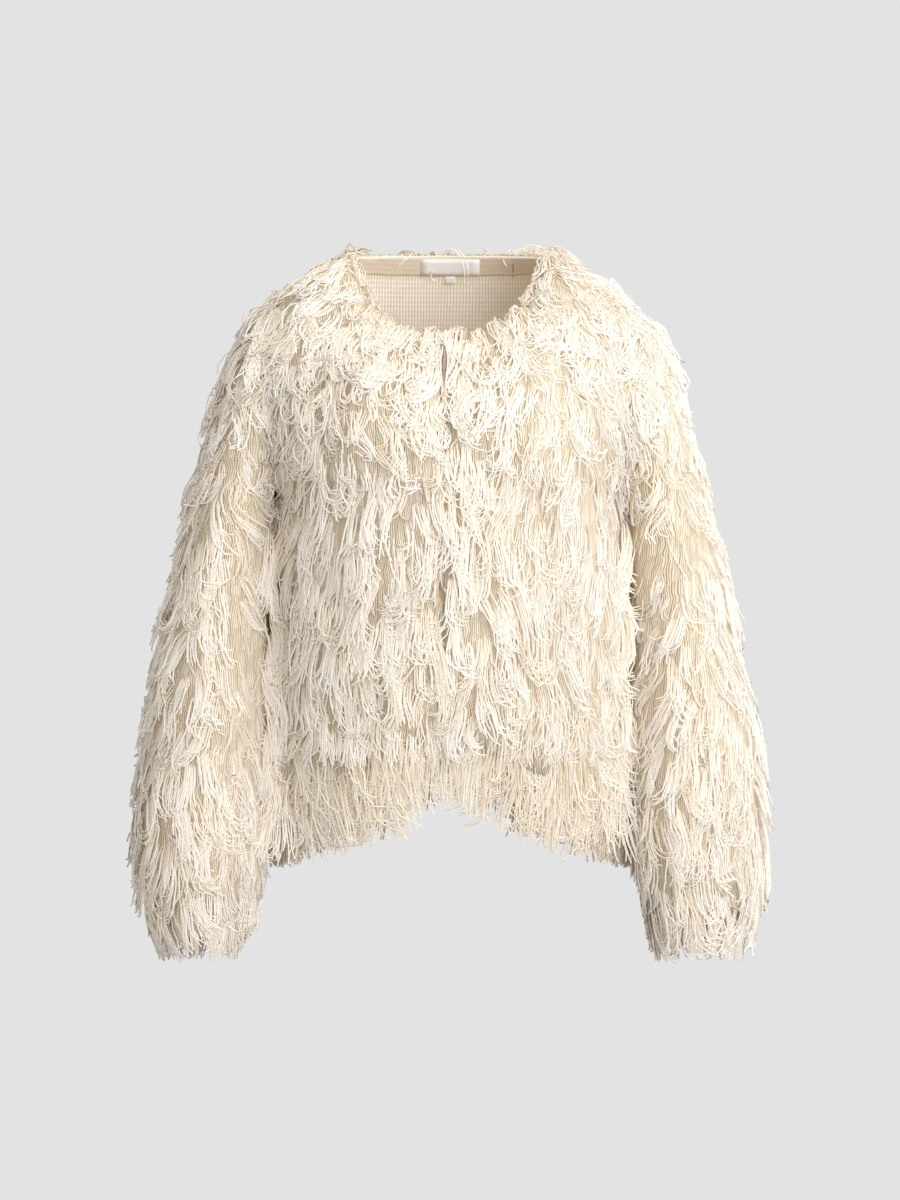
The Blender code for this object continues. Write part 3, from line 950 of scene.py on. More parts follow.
def walk(roots, facing, lengths, tall, steps, calm, cloth_near, rng):
    """Paths of the leading ends, and the way out of the coat along them."""
    angle = wander(roots, rng)
    rise = near_neck(roots)
    crossing = rng.uniform(0.0, 0.85, (len(roots), 1))
    # At the neck, ends in front lean in over the edge and those behind stand up.
    front = smooth((0.02 - roots[:, 1:2]) / 0.03)
    behind = (1 - front) * (0.50 + 0.45 * smooth((np.abs(roots[:, :1]) - 0.03) / 0.03))
    inward = unit(NECK_MIDDLE - roots) * front - DOWN * behind
    here = roots + facing * FIRST_HEIGHT
    way = out = facing
    paths, outs = [roots - facing * ROOT_DEPTH], [facing]
    for step in range(1, steps):
        s = step / (steps - 1)
        # Down, less what would go into the cloth, and outwards where the cloth lies flat.
        press = np.minimum(dot(DOWN[None], out), 0)
        outward = unit(np.concatenate([here[:, :1], here[:, 1:2] - 0.01, 0 * here[:, :1]], axis=1))
        fall = DOWN - out * press + outward * 0.7 * np.clip(out[:, 2:3], 0, 1)
        # Stray, tuck in past an edge, cross the valley, and rise near the root.
        spot, normal = nearest(here, cloth_near)
        plumb = is_past_edge(here, spot, normal)
        heading = turned(unit(fall), out, calm * angle(s) * (1 - 0.7 * rise))
        heading = heading - EDGE_TUCK * out * plumb
        heading = heading + calm * crossing * towards(here, out)
        upward = out * max(0.0, 0.5 - 2.5 * s) + inward * rise * max(0.0, 2.9 - 8.5 * s)
        way = unit(MOMENTUM * way + heading + upward)
        here = here + way * lengths / (steps - 1)
        # Back to the height in the coat that suits this share of the lock.
        spot, normal = nearest(here, cloth_near)
        plumb = is_past_edge(here, spot, normal)
        out = np.where(plumb, out, unit(0.5 * out + normal))
        up = dot(here - spot, normal)
        wanted = room_over(spot, normal) * coat_height(s, tall)
        held = HOLD * (1 - rise * max(0.0, 1 - 2.5 * s))
        here = np.where(plumb, here, here + normal * (wanted - up) * held)
        # The way out counts only where cloth is right behind.
        backed = smooth((dot(unit(here - spot), normal) - 0.3) / 0.5)
        paths.append(here)
        outs.append(out * (0.05 + 0.95 * backed * (1 - rise)))
    return np.stack(paths, 1), np.stack(outs, 1)


print("a lock's tip is up at", round(float(coat_height(1.0, 1.0)), 2), "of the room")

# %% [markdown]
# ## Layers
# A coat like this has depth: short ends close to the cloth, the long ones on top, and a second
# tier at the hem. Each layer is one line of settings, so that the layers can be compared and the
# code that grows them is written once.

# %% The layers' settings
PITCH = 0.00165
Layer = namedtuple("Layer", (
    "chance",  # where its roots are
    "span",    # shortest and longest end, in metres
    "tall",    # how much of the room its locks take
    "calm",    # how freely they stray
    "ends",    # fewest and most ends of a lock
    "rings",   # rings of a tube, from root to tip
    "ragged",  # length of the shortest end of a lock
    "pitch",   # distance from yarn to yarn, in metres
    "loose",   # how far single ends swing out, in metres
    "shades",  # darkest and lightest of 64 tones, as a share
    "thick",   # thinnest and thickest yarn, as a share
    "yarns",   # how many yarns wide a tube is
))
# The low layer and the hem tier take darker tones than the main locks. That is painted shade: the
# low layer lies deep in the coat, and the hem tier hangs under the front's locks.
LOW = Layer(even, (0.046, 0.062), (0.45, 0.65), 0.5, (3, 4), 6, 0.80, 2 * PITCH, 0.0003,
            (0.2, 0.6), (1.0, 1.2), 2)
MAIN = Layer(fuller_on_top, (0.058, 0.090), (0.62, 1.15), 1.0, (6, 7), 7, 0.76, PITCH, 0.0005,
             (0.45, 0.95), (0.90, 1.1), 1)
HEM = Layer(near_hem, (0.090, 0.14), (0.3, 0.7), 0.55, (5, 6), 7, 0.62, PITCH, 0.0012,
            (0.15, 0.6), (0.9, 1.1), 1)
VALLEY = Layer(beside_the_arm, (0.070, 0.100), (0.2, 0.8), 0.7, (6, 7), 7, 0.72, PITCH, 0.0005,
               (0.4, 0.9), (0.9, 1.1), 1)
print("the longest ends are", HEM.span[1], "metres")

# %% [markdown]
# ## Tufts
# Several locks that grow near each other draw together on their way down, as combed wool does.
# So a layer's roots are first spread evenly over the cloth, each one as far from the others as
# it can be. Then a fifth of the locks each draw their neighbours towards them.

# %% Gather locks in tufts
LEADER_STEPS = 15
LOCKS_IN_TUFT = 5
TUFT_DRAW = 0.42
Locks = namedtuple("Locks", "roots facing paths outs lengths tone")


def spread_out(points, count, fullness):
    """Numbers of points that lie as far apart as they can, and nearer where it is fuller."""
    picked = [0]
    gaps = np.linalg.norm(points - points[0], axis=1)
    for _ in range(count - 1):
        picked.append(int((gaps * np.sqrt(fullness)).argmax()))
        gaps = np.minimum(gaps, np.linalg.norm(points - points[picked[-1]], axis=1))
    return picked


def eased(paths, share, times):
    """Takes the kinks out of paths, ends kept."""
    for _ in range(times):
        middle = paths[:, 1:-1]
        pull = (paths[:, :-2] + paths[:, 2:]) / 2 - middle
        paths = np.concatenate([paths[:, :1], middle + share * pull, paths[:, -1:]], axis=1)
    return paths


def locks_for(side, count, layer, cloth_near, rng):
    """The leading ends of a layer, gathered in tufts."""
    roots, facing = scatter(side, 5 * count, layer.chance, rng)
    picked = spread_out(roots, count, layer.chance(roots))
    roots, facing = roots[picked], facing[picked]
    lengths = rng.uniform(*layer.span, (count, 1)) * (1 - 0.15 * wildness(roots))
    tufts = spread_out(roots, max(count // LOCKS_IN_TUFT, 1), even(roots))
    tuft = np.linalg.norm(roots[:, None] - roots[tufts][None], axis=2).argmin(1)
    height = rng.uniform(*layer.tall, (len(tufts), 1))[tuft]
    paths, outs = walk(roots, facing, lengths, height, LEADER_STEPS, layer.calm, cloth_near, rng)
    paths = eased(paths, 0.7, 2)
    drawn = TUFT_DRAW * np.linspace(0, 1, LEADER_STEPS)[None, :, None] ** 1.4
    paths = paths + drawn * layer.calm * (paths[np.array(tufts)[tuft]] - paths)
    tone = rng.uniform(-0.14, 0.14, len(tufts))[tuft]
    return Locks(roots, facing, paths, outs, lengths, tone)


print(LOCKS_IN_TUFT, "locks make a tuft")

# %% [markdown]
# ## From leaders to locks
# Three to seven ends share each leader. They start a little apart, draw together side by side
# within a third of their length, and then run on as one flat lock that fans out or closes up.
# They stop at different lengths, so the lock's tip is ragged, and the tips hook round. One end
# in ten is a stray that keeps away from the others.

# %% Comb the ends of the locks
ROOT_SPREAD = 0.0045
STRAY_SHARE = 0.10
CROWN, STRAY_RISE = 0.0012, 0.0024
HOOK_FROM = 0.72


def along(values, lock, share):
    """The leaders' values read at a share of their length, for each end."""
    last = values.shape[1] - 1
    at = np.clip(share * last, 0, last - 1e-6)
    low = at.astype(int)
    part = (at - low)[..., None]
    lock = lock[:, None]
    return values[lock, low] * (1 - part) + values[lock, low + 1] * part


def comb(locks, layer, rng):
    """(paths, ways out of the coat, lock numbers) of all the ends."""
    locks_here = len(locks.roots)
    sizes = rng.integers(layer.ends[0], layer.ends[1] + 1, locks_here)
    lock = np.repeat(np.arange(locks_here), sizes)
    count = len(lock)
    each = (count, 1)
    wild = wildness(locks.roots)[lock]
    facing = locks.facing[lock]

    # The leader's path, read closer together towards the tip.
    s = 1 - (1 - np.linspace(0, 1, layer.rings)) ** 1.25
    share = rng.uniform(layer.ragged, 1, each) * s
    lead, held_out = along(locks.paths, lock, share), along(locks.outs, lock, share)
    out = unit(held_out)
    tangent = unit(np.gradient(lead, axis=1))
    across = unit(np.cross(tangent, out))

    # The root's own spot, and the end's place in the flat lock.
    shift = rng.normal(0, ROOT_SPREAD, (count, 3))
    shift = (shift - facing * dot(shift, facing))[:, None]
    stray = (rng.random(each) < STRAY_SHARE) * 1.0
    number = np.arange(count) - np.repeat(np.cumsum(sizes) - sizes, sizes)
    place = (number[:, None] + rng.normal(0, 0.22, each)) - (sizes[lock] - 1)[:, None] / 2
    beside = layer.pitch * place * (1 + stray)
    above = CROWN * (1 - (2 * place / sizes[lock][:, None]) ** 2) + STRAY_RISE * stray
    above += rng.normal(0, 0.0003, each)
    fan = rng.uniform(-0.45, 0.40, (locks_here, 1))[lock]
    form = 1 + fan * smooth((s - 0.3) / 0.7)

    # A loose swing round the lock.
    phase = rng.random(each) * 2 * math.pi
    turns = rng.uniform(0.7, 1.6, each) * rng.choice([-1, 1], each)
    size = layer.loose * rng.uniform(0.3, 1.2, each) * (1 + 2.2 * wild) * (1 + 1.5 * stray)
    size = size * smooth(2 * s)
    swing = phase + 2 * math.pi * turns * s

    # The hooked tip is an arc: the last part of the end, bent by an angle.
    hooked = rng.normal(0, 1, (locks_here, 1))[lock]
    bend = (0.9 * hooked + 0.3 * rng.normal(0, 1, each)) * (1.1 + 0.6 * wild)
    bend = np.where(np.abs(bend) < 0.05, 0.05, bend)
    tip = np.clip((s - HOOK_FROM) / (1 - HOOK_FROM), 0, 1)
    reach = locks.lengths[lock] * 0.28
    sideways_by = reach / bend * (1 - np.cos(bend * tip))
    back_by = -(reach * tip - reach / bend * np.sin(bend * tip))

    gather = smooth(s / 0.33)[None, :, None]
    offset = across * (beside * form + size * np.sin(swing))[..., None]
    offset += out * (above + 0.7 * size * np.cos(swing))[..., None]
    made = lead + shift * (1 - gather) + offset * gather
    made += across * sideways_by[..., None] + tangent * back_by[..., None]
    return made, held_out, lock


print("one end in", round(1 / STRAY_SHARE), "strays")

# %% [markdown]
# ## Where the fringe stops
# On the fronts the main fringe is trimmed to a nearly level line, and a second softer tier hangs
# from the hem behind it, higher in the middle than at the sides. At the cuffs the ends reach
# just past the hand. So each end has a lowest height, and one that would pass it is cut shorter.
# Ends that would be left too short are pulled out.

# %% Trim lines
FRONT_LINE, FRONT_UNEVEN = -0.464, 0.0035
ARCH_X = (0.0, 0.035, 0.064, 0.124, 0.160)
ARCH_Z = (-0.500, -0.520, -0.538, -0.556, -0.565)
ARCH_UNEVEN, BACK_DROP = 0.009, 0.004
CUFF_LINE, CUFF_UNEVEN = -0.650, 0.008
SHORTEST = 0.028


def uneven(roots, by, rng):
    return rng.normal(0, by, (len(roots), 1))


def arch(spots):
    """Lowest tips of the hem fringe, by distance from the middle."""
    return np.interp(np.abs(spots[:, :1]), ARCH_X, ARCH_Z)


def cuff_trim(roots, rng):
    return CUFF_LINE + np.abs(uneven(roots, CUFF_UNEVEN, rng))


def front_trim(roots, rng):
    return FRONT_LINE + uneven(roots, FRONT_UNEVEN, rng)


def hem_trim(roots, rng):
    return arch(roots) + np.abs(uneven(roots, ARCH_UNEVEN, rng))


def back_trim(roots, rng):
    return arch(roots) - BACK_DROP + np.abs(uneven(roots, ARCH_UNEVEN, rng))


def cut(paths, lowest):
    """Paths cut off where they first pass below lowest, and which of them are worth keeping."""
    count, rings, _ = paths.shape
    passed = paths[:, :, 2] < lowest
    first = np.where(passed.any(1), passed.argmax(1), rings - 1)
    before = np.maximum(first - 1, 0)
    rows = np.arange(count)
    high, low = paths[rows, before, 2], paths[rows, first, 2]
    part = np.clip((high - lowest[:, 0]) / np.maximum(high - low, 1e-6), 0, 1)
    last = np.where(passed.any(1), before + part, rings - 1)[:, None]
    at = np.linspace(0, 1, rings)[None] * last
    base = np.minimum(at.astype(int), rings - 2)
    share = (at - base)[..., None]
    kept = paths[rows[:, None], base] * (1 - share) + paths[rows[:, None], base + 1] * share
    long_enough = np.linalg.norm(np.diff(kept, axis=1), axis=2).sum(1) > SHORTEST
    return kept, long_enough


print("front trimmed at", FRONT_LINE, "and cuffs at", CUFF_LINE)

# %% [markdown]
# ## The front opening
# The two fronts meet edge to edge, and their fringe closes over the opening. In two places it
# gapes by a few millimetres. Cutting a slot would look combed, so the ends near it are pushed
# aside, each to its own side.

# %% Part the fringe
OPENING_Z = (-0.33, -0.20, -0.07)
OPENING_X = (-0.0135, -0.0080, -0.0045)
GAPE_Z = (-0.325, -0.306, -0.287, -0.145, -0.120, -0.095, -0.078)
GAPE_HALF = (0.0, 0.0016, 0.0, 0.0, 0.0016, 0.0036, 0.0)


def parted(paths, node):
    """Combs the ends away from the front opening where it gapes."""
    if not node.startswith("front"):
        return paths
    x, z = paths[..., 0], paths[..., 2]
    line = np.interp(z, OPENING_Z, OPENING_X)
    gape = np.interp(z, GAPE_Z, GAPE_HALF)
    away = 1 if node == "front_left" else -1
    short = np.maximum(gape - away * (x - line), 0) * (gape > 0)
    moved = paths.copy()
    moved[..., 0] += away * short
    return moved


print("the opening gapes by", 2000 * max(GAPE_HALF), "mm at most")

# %% [markdown]
# ## From paths to tubes
# A path becomes a closed tube with three sides, which is enough for yarn two millimetres thick.
# In the low layer a tube is flat and two yarns wide, because it is mostly hidden. A tube must
# not twist between its rings, so each ring takes over the direction of the one before it.

# %% Shape of a tube
YARN_RADIUS = 0.00092
TIP_SHARE = 0.72


def section(yarns):
    """A tube's corners across and out of the coat in yarn radii, their roundness and columns."""
    if yarns == 1:
        turn = 2 * math.pi * np.arange(3) / 3
        return np.cos(turn), np.sin(turn), np.ones(3), 0.15 + 0.7 * np.arange(4) / 3
    wide = 0.9 * yarns
    columns = np.array([yarns, 0, yarns / 2, yarns])
    return np.array([wide, -wide, 0]), np.array([0.3, 0.3, -0.9]), np.array([0.9, 0.9, 1]), columns


def sideways(paths, outs):
    """(tangents, directions across) that turn as little as they can along each path."""
    tangent = unit(np.gradient(paths, axis=1))
    flat = unit(np.cross(outs, tangent))
    side = flat.copy()
    forwards = [(ring, ring - 1) for ring in range(3, paths.shape[1])]
    for ring, before in forwards + [(1, 2), (0, 1)]:
        kept = side[:, before] - tangent[:, ring] * dot(side[:, before], tangent[:, ring])
        same = np.where(dot(flat[:, ring], kept) < 0, -1, 1)
        side[:, ring] = unit(unit(kept) + 0.5 * same * flat[:, ring])
    return tangent, side


def tapers(rings, yarns):
    """How thick a tube is at each ring."""
    s = np.linspace(0, 1, rings)
    taper = 1 - (1 - TIP_SHARE) * s ** 2
    if yarns > 1:
        taper = taper * (0.45 + 0.55 * smooth(s / 0.2)) * (1 - 0.6 * smooth((s - 0.72) / 0.28))
    return taper


print("yarn", round(2000 * YARN_RADIUS, 2), "mm thick")

# %% [markdown]
# ## Faces and map of the tubes
# Rings of corners are joined by quads, and two small caps close each tube. The map puts each
# yarn in one of 64 narrow columns and runs from root to tip, so a flat tube simply crosses its
# columns. The normals lean out of the coat, so that packed ends shade as one soft body and not
# as wire.

# %% Faces and map
TONES = 64
NORMAL_SHARE = 0.75
MAP_MARGIN = 0.01


def tube_faces(paths, outs, tones, thickness, yarns):
    """(points, soft normals, quads, caps, and the map of both) of a bundle of tubes."""
    ends, rings, _ = paths.shape
    tangent, side = sideways(paths, outs)
    up = np.cross(tangent, side)
    radius = (thickness[:, None] * tapers(rings, yarns)[None])[..., None, None]
    a, b, roundness, columns = section(yarns)
    sides = len(a)
    side, up = side[:, :, None], up[:, :, None]
    rim = paths[:, :, None] + radius * (side * a[:, None] + up * b[:, None])
    round_way = unit(side * (a / np.abs(a).max())[:, None] + up * b[:, None])
    soft = unit(round_way * roundness[:, None] + NORMAL_SHARE * outs[:, :, None])

    first = (np.arange(ends) * rings * sides)[:, None, None]
    ring = (np.arange(rings - 1) * sides)[None, :, None]
    here = np.arange(sides)[None, None]
    then = (here + 1) % sides
    quads = np.stack([first + ring + here, first + ring + then,
                      first + ring + sides + then, first + ring + sides + here], -1)
    around = np.arange(sides)
    caps = np.concatenate([first[:, 0] + around[::-1][None],
                           first[:, 0] + (rings - 1) * sides + around[None]])

    s = np.linspace(0, 1, rings)
    low, high, left, right = [np.broadcast_to(part, quads.shape[:3]) for part in (
        s[None, :-1, None], s[None, 1:, None],
        (tones[:, None, None] + columns[None, None, :-1]) / TONES,
        (tones[:, None, None] + columns[None, None, 1:]) / TONES)]
    run = MAP_MARGIN + (1 - 2 * MAP_MARGIN) * np.stack([low, low, high, high], -1)
    quad_map = np.stack([np.stack([left, right, right, left], -1), run], -1)
    cap_u = (tones[:, None] + columns[None, :-1]) / TONES
    bulge = MAP_MARGIN * np.sin(math.pi * around / sides)[None] + 0 * cap_u
    cap_map = np.concatenate([np.stack([cap_u[:, ::-1], bulge], -1),
                              np.stack([cap_u, 1 - bulge], -1)])
    return rim.reshape(-1, 3), soft.reshape(-1, 3), quads, caps, quad_map, cap_map


print(TONES, "columns of yarn on the map")

# %% [markdown]
# ## One mesh for a piece
# Thousands of separate objects would choke any scene, so all the tubes of a piece go into one
# mesh. It is filled from arrays, with one call for each kind of data, because a loop over half a
# million corners would take minutes.


# %% Spin the yarn
def spin(name, bundles, material):
    """One mesh from (paths, ways out, tones, thickness, yarns) bundles of ends."""
    points, corners, starts, maps, soft = [], [], [], [], []
    total = loops_before = 0
    for bundle in bundles:
        rim, normals, quads, caps, quad_map, cap_map = tube_faces(*bundle)
        points.append(rim)
        soft.append(normals)
        corners += [total + quads.reshape(-1), total + caps.reshape(-1)]
        maps += [quad_map.reshape(-1, 2), cap_map.reshape(-1, 2)]
        sizes = np.concatenate([np.full(quads.size // 4, 4), np.full(len(caps), caps.shape[1])])
        starts.append(loops_before + np.concatenate([[0], np.cumsum(sizes)[:-1]]))
        loops_before += int(sizes.sum())
        total += len(rim)
    points, corners = np.concatenate(points), np.concatenate(corners)
    starts, maps = np.concatenate(starts), np.concatenate(maps)
    mesh = bpy.data.meshes.new(name)
    mesh.vertices.add(len(points))
    mesh.vertices.foreach_set("co", points.astype(np.float32).ravel())
    mesh.loops.add(len(corners))
    mesh.loops.foreach_set("vertex_index", corners.astype(np.int32))
    mesh.polygons.add(len(starts))
    mesh.polygons.foreach_set("loop_start", starts.astype(np.int32))
    mesh.update(calc_edges=True)
    layer = mesh.uv_layers.new(name="OFBake")
    layer.uv.foreach_set("vector", maps.astype(np.float32).ravel())
    mesh.shade_smooth()
    mesh.normals_split_custom_set_from_vertices(np.concatenate(soft).tolist())
    piece = shown(name, mesh, material)
    mesh.calc_loop_triangles()
    ends = [len(bundle[0]) for bundle in bundles]
    print(name, ends, "ends,", len(mesh.loop_triangles), "triangles")
    return piece


# %% [markdown]
# ## The yarn's finish
# The yarn is undyed and soft. Near its root it is painted warmer and darker, which is painted
# shade of the depth of the coat, and its tip is nearly white. Each of the 64 columns has a tone of
# its own. Two plies twist round each other, which shows as painted slanting shade and a little
# relief, and the line between two yarns is painted shade. All of it is read from the map, so the
# pattern runs along each end however it bends.

# %% Yarn material
TWISTS = 22.0
TONE_PART, CHANCE_PART = 0.8, 0.2
YARN_ROUND, PLY_DEPTH = 1.6, 0.4

yarn, tree, shader = new_material("fringe_yarn", {
    "Roughness": 0.8, "Specular IOR Level": 0.25, "Sheen Weight": 0.5, "Sheen Roughness": 0.4,
    "Sheen Tint": colour(1.0, 0.98, 0.94)})
across, along_it = across_and_along(tree, map_of(tree, "OFBake"))
column = across * float(TONES)
number = maths("FLOOR", column)
tone = number * (TONE_PART / (TONES - 1)) + chance_of(tree, number) * CHANCE_PART
round_top = arch_over(column)
line = (1.0 - round_top) ** 1.4
ply = wave((maths("FRACT", column) * 2.0 + along_it * TWISTS) * (2 * math.pi))
# Painted shade: the root half of each end is darker and warmer, for the depth of the coat.
to_tip = maths("SMOOTH_MIN", along_it * 1.9, 1.0, 0.3)
deep = blend(tone, colour(0.62, 0.46, 0.26), colour(0.86, 0.76, 0.60))
bright = blend(tone, colour(0.80, 0.70, 0.54), colour(0.955, 0.942, 0.926))
# The ply twist and the line between two yarns are painted shade, in a tan colour.
seen = blend(ply * 0.10 + line * 0.6, blend(to_tip, deep, bright), colour(0.70, 0.56, 0.38))
feed(seen_and_lit(tree, seen, BOUNCED_CREAM), shader.inputs["Base Color"])
relief = maths("SUBTRACT", round_top * YARN_ROUND, ply * PLY_DEPTH)
raise_relief(tree, shader, relief, 0.5, 0.0006)
filters_light(tree, shader, YARN_LETS_THROUGH, YARN_BOUNCED)
print(yarn.name, len(tree.nodes), "nodes")

# %% [markdown]
# ## Loose ends at the back of the neck
# Seen through the neck, a few single ends hang over the inside of the back, and a short dark
# thread is caught beside the label. There are too few to leave to chance, so each is given as
# spots to the side and up, and laid on whatever cloth is behind it there. An end of yarn starts
# hidden behind the neck band.

# %% Place the loose ends
LOOSE_ENDS = (
    ((-0.034, 0.0175), (-0.035, 0.008), (-0.042, 0.003), (-0.048, -0.001), (-0.0495, -0.006)),
    ((-0.006, 0.0130), (0.003, 0.0150), (0.010, 0.008), (0.0145, -0.005), (0.013, -0.0175)),
    ((-0.001, 0.0150), (0.007, 0.0155), (0.0145, 0.006), (0.018, -0.008), (0.0165, -0.015)),
    ((-0.013, -0.0035), (-0.0185, -0.0090), (-0.0195, -0.0135), (-0.0155, -0.0165),
     (-0.0115, -0.0150)),
    ((0.060, 0.0150), (0.054, 0.0120), (0.049, 0.0060), (0.050, 0.0000), (0.053, -0.0030)),
)
LOOSE_TONE, LOOSE_THICK = 61, 1.15
THREAD = ((0.0590, -0.0010), (0.0593, -0.0050), (0.0590, -0.0090), (0.0592, -0.0130))
THREAD_RADIUS = 0.0005
BACK_OF_NECK = 0.0615
HIDDEN = ((0.071, -0.016), (0.070, -0.009), (0.067, -0.002))


def laid_over(places, rings, off, behind):
    """Paths that follow (x, z) places over the cloth at the back of the neck, as one looks in."""
    inside = tree_of(["back", "neck_band", "label", "size_tab"])
    paths = []
    for place in places:
        at = np.linspace(0, len(place) - 1, rings)
        x, z = [np.interp(at, range(len(place)), [p[axis] for p in place]) for axis in (0, 1)]
        hits = [inside.ray_cast((a, 0.0, b), (0, 1, 0))[0] for a, b in zip(x, z)]
        y = [BACK_OF_NECK if hit is None else hit.y - off for hit in hits]
        hidden = [(x[0], depth, z[0] + rise) for depth, rise in HIDDEN] if behind else []
        paths.append(hidden + np.stack([x, y, z], 1).tolist())
    paths = eased(np.array(paths), 0.8, 3)
    return paths, np.broadcast_to((0.0, -0.05, 0.0), paths.shape)


print(len(LOOSE_ENDS), "loose ends in the neck")

# %% [markdown]
# ## Growing each piece
# Every piece gets a low layer that hides the knit and the main locks on top. The back and the
# fronts also get the tier at the hem, and the fronts get the locks that hang across the valleys.
# Each piece has its own fixed seed, so the same jacket grows every time.

# %% Grow
SEEDS = {"back": 11, "front_left": 12, "front_right": 13, "sleeve_left": 14, "sleeve_right": 15}
LOW_LOCKS = {"back": 300, "front_left": 170, "front_right": 170,
             "sleeve_left": 220, "sleeve_right": 220}
MAIN_LOCKS = {"back": 545, "front_left": 480, "front_right": 480,
              "sleeve_left": 690, "sleeve_right": 690}
HEM_LOCKS = {"back": 105, "front_left": 140, "front_right": 140}
VALLEY_LOCKS = 64


def grow(locks, layer, trim, rng):
    """A bundle of ends that follow the leaders."""
    paths, outs, lock = comb(locks, layer, rng)
    paths, keep = cut(paths, trim(paths[:, 0], rng))
    count = len(lock)
    shade = rng.uniform(*layer.shades, len(locks.roots)) + locks.tone
    shade = shade[lock] + rng.normal(0, 0.10, count)
    tones = np.clip(shade * TONES, 0, TONES - layer.yarns).astype(int)
    radii = YARN_RADIUS * rng.uniform(*layer.thick, count)
    return paths[keep], outs[keep], tones[keep], radii[keep], layer.yarns


fringe = {}
for node in KNITTED:
    rng = np.random.default_rng(SEEDS[node])
    side = outer[node]
    trim = cuff_trim if node in SLEEVES else back_trim if node == "back" else front_trim
    main = MAIN._replace(rings=8) if node in valley_tree else MAIN
    low_locks = locks_for(side, LOW_LOCKS[node], LOW, cloth_tree, rng)
    main_locks = locks_for(side, MAIN_LOCKS[node], main, cloth_tree, rng)
    bundles = [grow(low_locks, LOW, trim, rng), grow(main_locks, main, trim, rng)]
    if node in HEM_LOCKS:
        hem_locks = locks_for(side, HEM_LOCKS[node], HEM, body_tree, rng)
        bundles.append(grow(hem_locks, HEM, hem_trim, rng))
    if node in valley_tree:
        side_locks = locks_for(side, VALLEY_LOCKS, VALLEY, valley_tree[node], rng)
        bundles.append(grow(side_locks, VALLEY, hem_trim, rng))
    if node == "back":
        paths, outs = laid_over(LOOSE_ENDS, 12, 0.0026, True)
        count = len(paths)
        radii = np.full(count, LOOSE_THICK * YARN_RADIUS)
        bundles.append((paths, outs, np.full(count, LOOSE_TONE), radii, 1))
    bundles = [(parted(paths, node), *rest) for paths, *rest in bundles]
    fringe[node] = spin("yarn_" + node, bundles, yarn)
    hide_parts("fringe_" + node)

# %% [markdown]
# ## The thread in the neck
# The dark thread is one thin tube on the same kind of path. It is sewing cotton, so it is
# smooth, and only its tone changes along it.

# %% The dark thread
thread, tree, shader = new_material("dark_thread", {"Roughness": 0.8})
thread_drift = use_group(tree, drift, {"Patch Size": 0.002})
feed(blend(read(thread_drift, "Tone"), colour(0.03, 0.04, 0.07), colour(0.10, 0.11, 0.15)),
     shader.inputs["Base Color"])
paths, outs = laid_over((THREAD,), 8, 0.0004, False)
neck_stitch = spin(
    "neck_stitch", [(paths, outs, np.zeros(1, int), np.full(1, THREAD_RADIUS), 1)], thread)

# %% [markdown]
# ## The imported roots: their finish
# Near the cloth the ends stand so close that no eye can part them. Spinning each of them would
# cost a million faces that nobody sees. So that lower part is one low, uneven bed on the cloth.
# Its material draws yarns and locks on it: thin stripes down the cloth map that sway together,
# in rows of locks that start at different heights. Each lock is darker and warmer at its root,
# which is painted shadow of the lock above, and lighter at its tip, and the lines between yarns
# and between locks are painted shade.

# %% The bed material
SWAY = 0.016
LOCK_WIDTH, YARN_WIDTH, ROW_HEIGHT = 0.0085, 0.0017, 0.030

bed_yarn, tree, shader = new_material("packed_yarn", {"Roughness": 0.9, "Sheen Weight": 0.3})
bed_map = map_of(tree, "cloth_metres")
sway = tree.nodes.new("ShaderNodeTexNoise")
sway.inputs["Scale"].default_value = 28.0
sway.inputs["Detail"].default_value = 2.0
feed(bed_map, sway.inputs["Vector"])
across, along_it = across_and_along(tree, bed_map)
swayed = across + read(sway, "Fac") * SWAY
lock_at, yarn_at = swayed / LOCK_WIDTH, swayed / YARN_WIDTH
staggered = (chance_of(tree, maths("FLOOR", lock_at)) * 7.0
             + chance_of(tree, maths("FLOOR", yarn_at)) * 0.6)
to_root = maths("FRACT", along_it / ROW_HEIGHT + staggered)
yarn_top = arch_over(yarn_at)
lift = (1.0 - to_root) * arch_over(lock_at) ** 0.5
# Painted shadow under each row of locks, and painted shade between locks and between yarns.
seen = blend(lift * 0.55 + yarn_top * 0.45, colour(0.60, 0.46, 0.28), colour(0.88, 0.79, 0.64))
feed(seen_and_lit(tree, seen, BOUNCED_CREAM), shader.inputs["Base Color"])
raise_relief(tree, shader, lift * 2.5 + yarn_top, 1.0, 0.0007)
filters_light(tree, shader, KNIT_LETS_THROUGH, BED_BOUNCED)
print(bed_yarn.name, len(tree.nodes), "nodes")

# %% [markdown]
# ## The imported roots: their shape
# A bed takes its shape from the plain fringe solid. A copy is welded and cut finer, and each
# point is drawn in towards its own cloth, to about half its distance. It is thinner towards the
# hem or cuff, where ends hang free, and thicker in the valleys beside the arms, so that no dark
# gap opens between the body and the sleeves.

# %% The beds
BED_SHARE, BED_ROUGH, BED_GRAIN = 0.5, 0.35, 90
BED_MOST, BED_PAST_EDGE = 0.010, 0.002
BED_LIMIT = 0.95
BED_TAPER = 0.035
VALLEY_X, VALLEY_HALF_WIDTH = 0.168, 0.020
VALLEY_FROM, VALLEY_FADE = -0.20, 0.04
VALLEY_FILL = 0.9


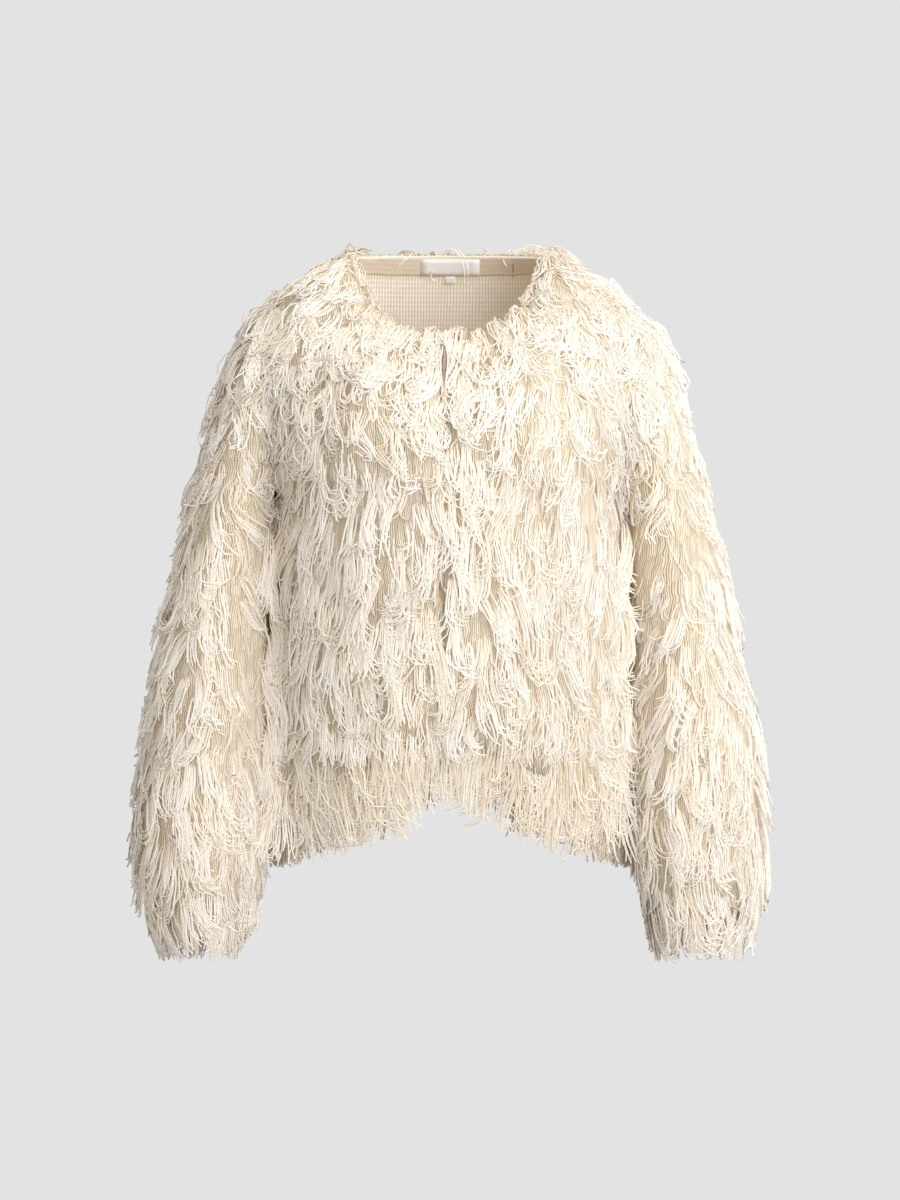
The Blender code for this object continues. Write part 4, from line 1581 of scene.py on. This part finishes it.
def bed_spot(place, own_cloth, foot):
    """Where a point of the fringe solid is drawn to."""
    spot, facing, _, _ = own_cloth.find_nearest(place)
    off = place - spot
    past = off.length > 0.001 and off.normalized().dot(facing) < 0.85
    rough = 1 + BED_ROUGH * noise.noise(place * BED_GRAIN)
    off_valley = abs(abs(place.x) - VALLEY_X) / VALLEY_HALF_WIDTH
    deep = smooth((VALLEY_FROM - place.z) / VALLEY_FADE)
    filled = 1 + VALLEY_FILL * float(smooth(1 - off_valley) * deep)
    tapered = float(smooth((place.z - foot) / BED_TAPER))
    full = BED_PAST_EDGE + (BED_MOST - BED_PAST_EDGE) * tapered
    most = BED_PAST_EDGE if past else full * filled
    return spot + off.normalized() * min(
        off.length * min(BED_SHARE * rough * filled, BED_LIMIT), most)


for node in KNITTED:
    own_cloth = tree_of([node])
    bm = welded("fringe_" + node)
    bmesh.ops.subdivide_edges(bm, edges=bm.edges, cuts=1, use_grid_fill=True)
    foot = min(vert.co.z for vert in bm.verts)
    for vert in bm.verts:
        vert.co = bed_spot(vert.co, own_cloth, foot)
    if node in SLEEVES:
        lay_map(bm, sleeve_axis[node], ARM_RADIUS)
    else:
        lay_panel_map(bm)
    bed = finished("packed_" + node, bm, bed_yarn, 0)
    print(bed.name, len(bed.data.polygons), "faces")

# %% [markdown]
# ## What each cloth was cut to
# The size of each knitted piece before it was sewn, all round for a sleeve. These come from the
# girth and the drop of the shape, since the pieces are knitted to size.

# %% Cloth sizes
CUTS = {
    "back": ((0.44, 0.51), 0.200, [fringe["back"]]),
    "front_left": ((0.22, 0.51), 0.097, [fringe["front_left"]]),
    "front_right": ((0.22, 0.51), 0.092, [fringe["front_right"]]),
    "sleeve_left": ((0.33, 0.56), 0.142, [fringe["sleeve_left"]]),
    "sleeve_right": ((0.33, 0.56), 0.142, [fringe["sleeve_right"]]),
    "neck_band": ((0.206, 0.020), None, []),
    "label": ((0.058, 0.017), None, []),
    "size_tab": ((0.010, 0.010), 0.000072, []),
}
for node, (flat, area, goes_with) in CUTS.items():
    holder = ["knit_back"] if node != "back" else []
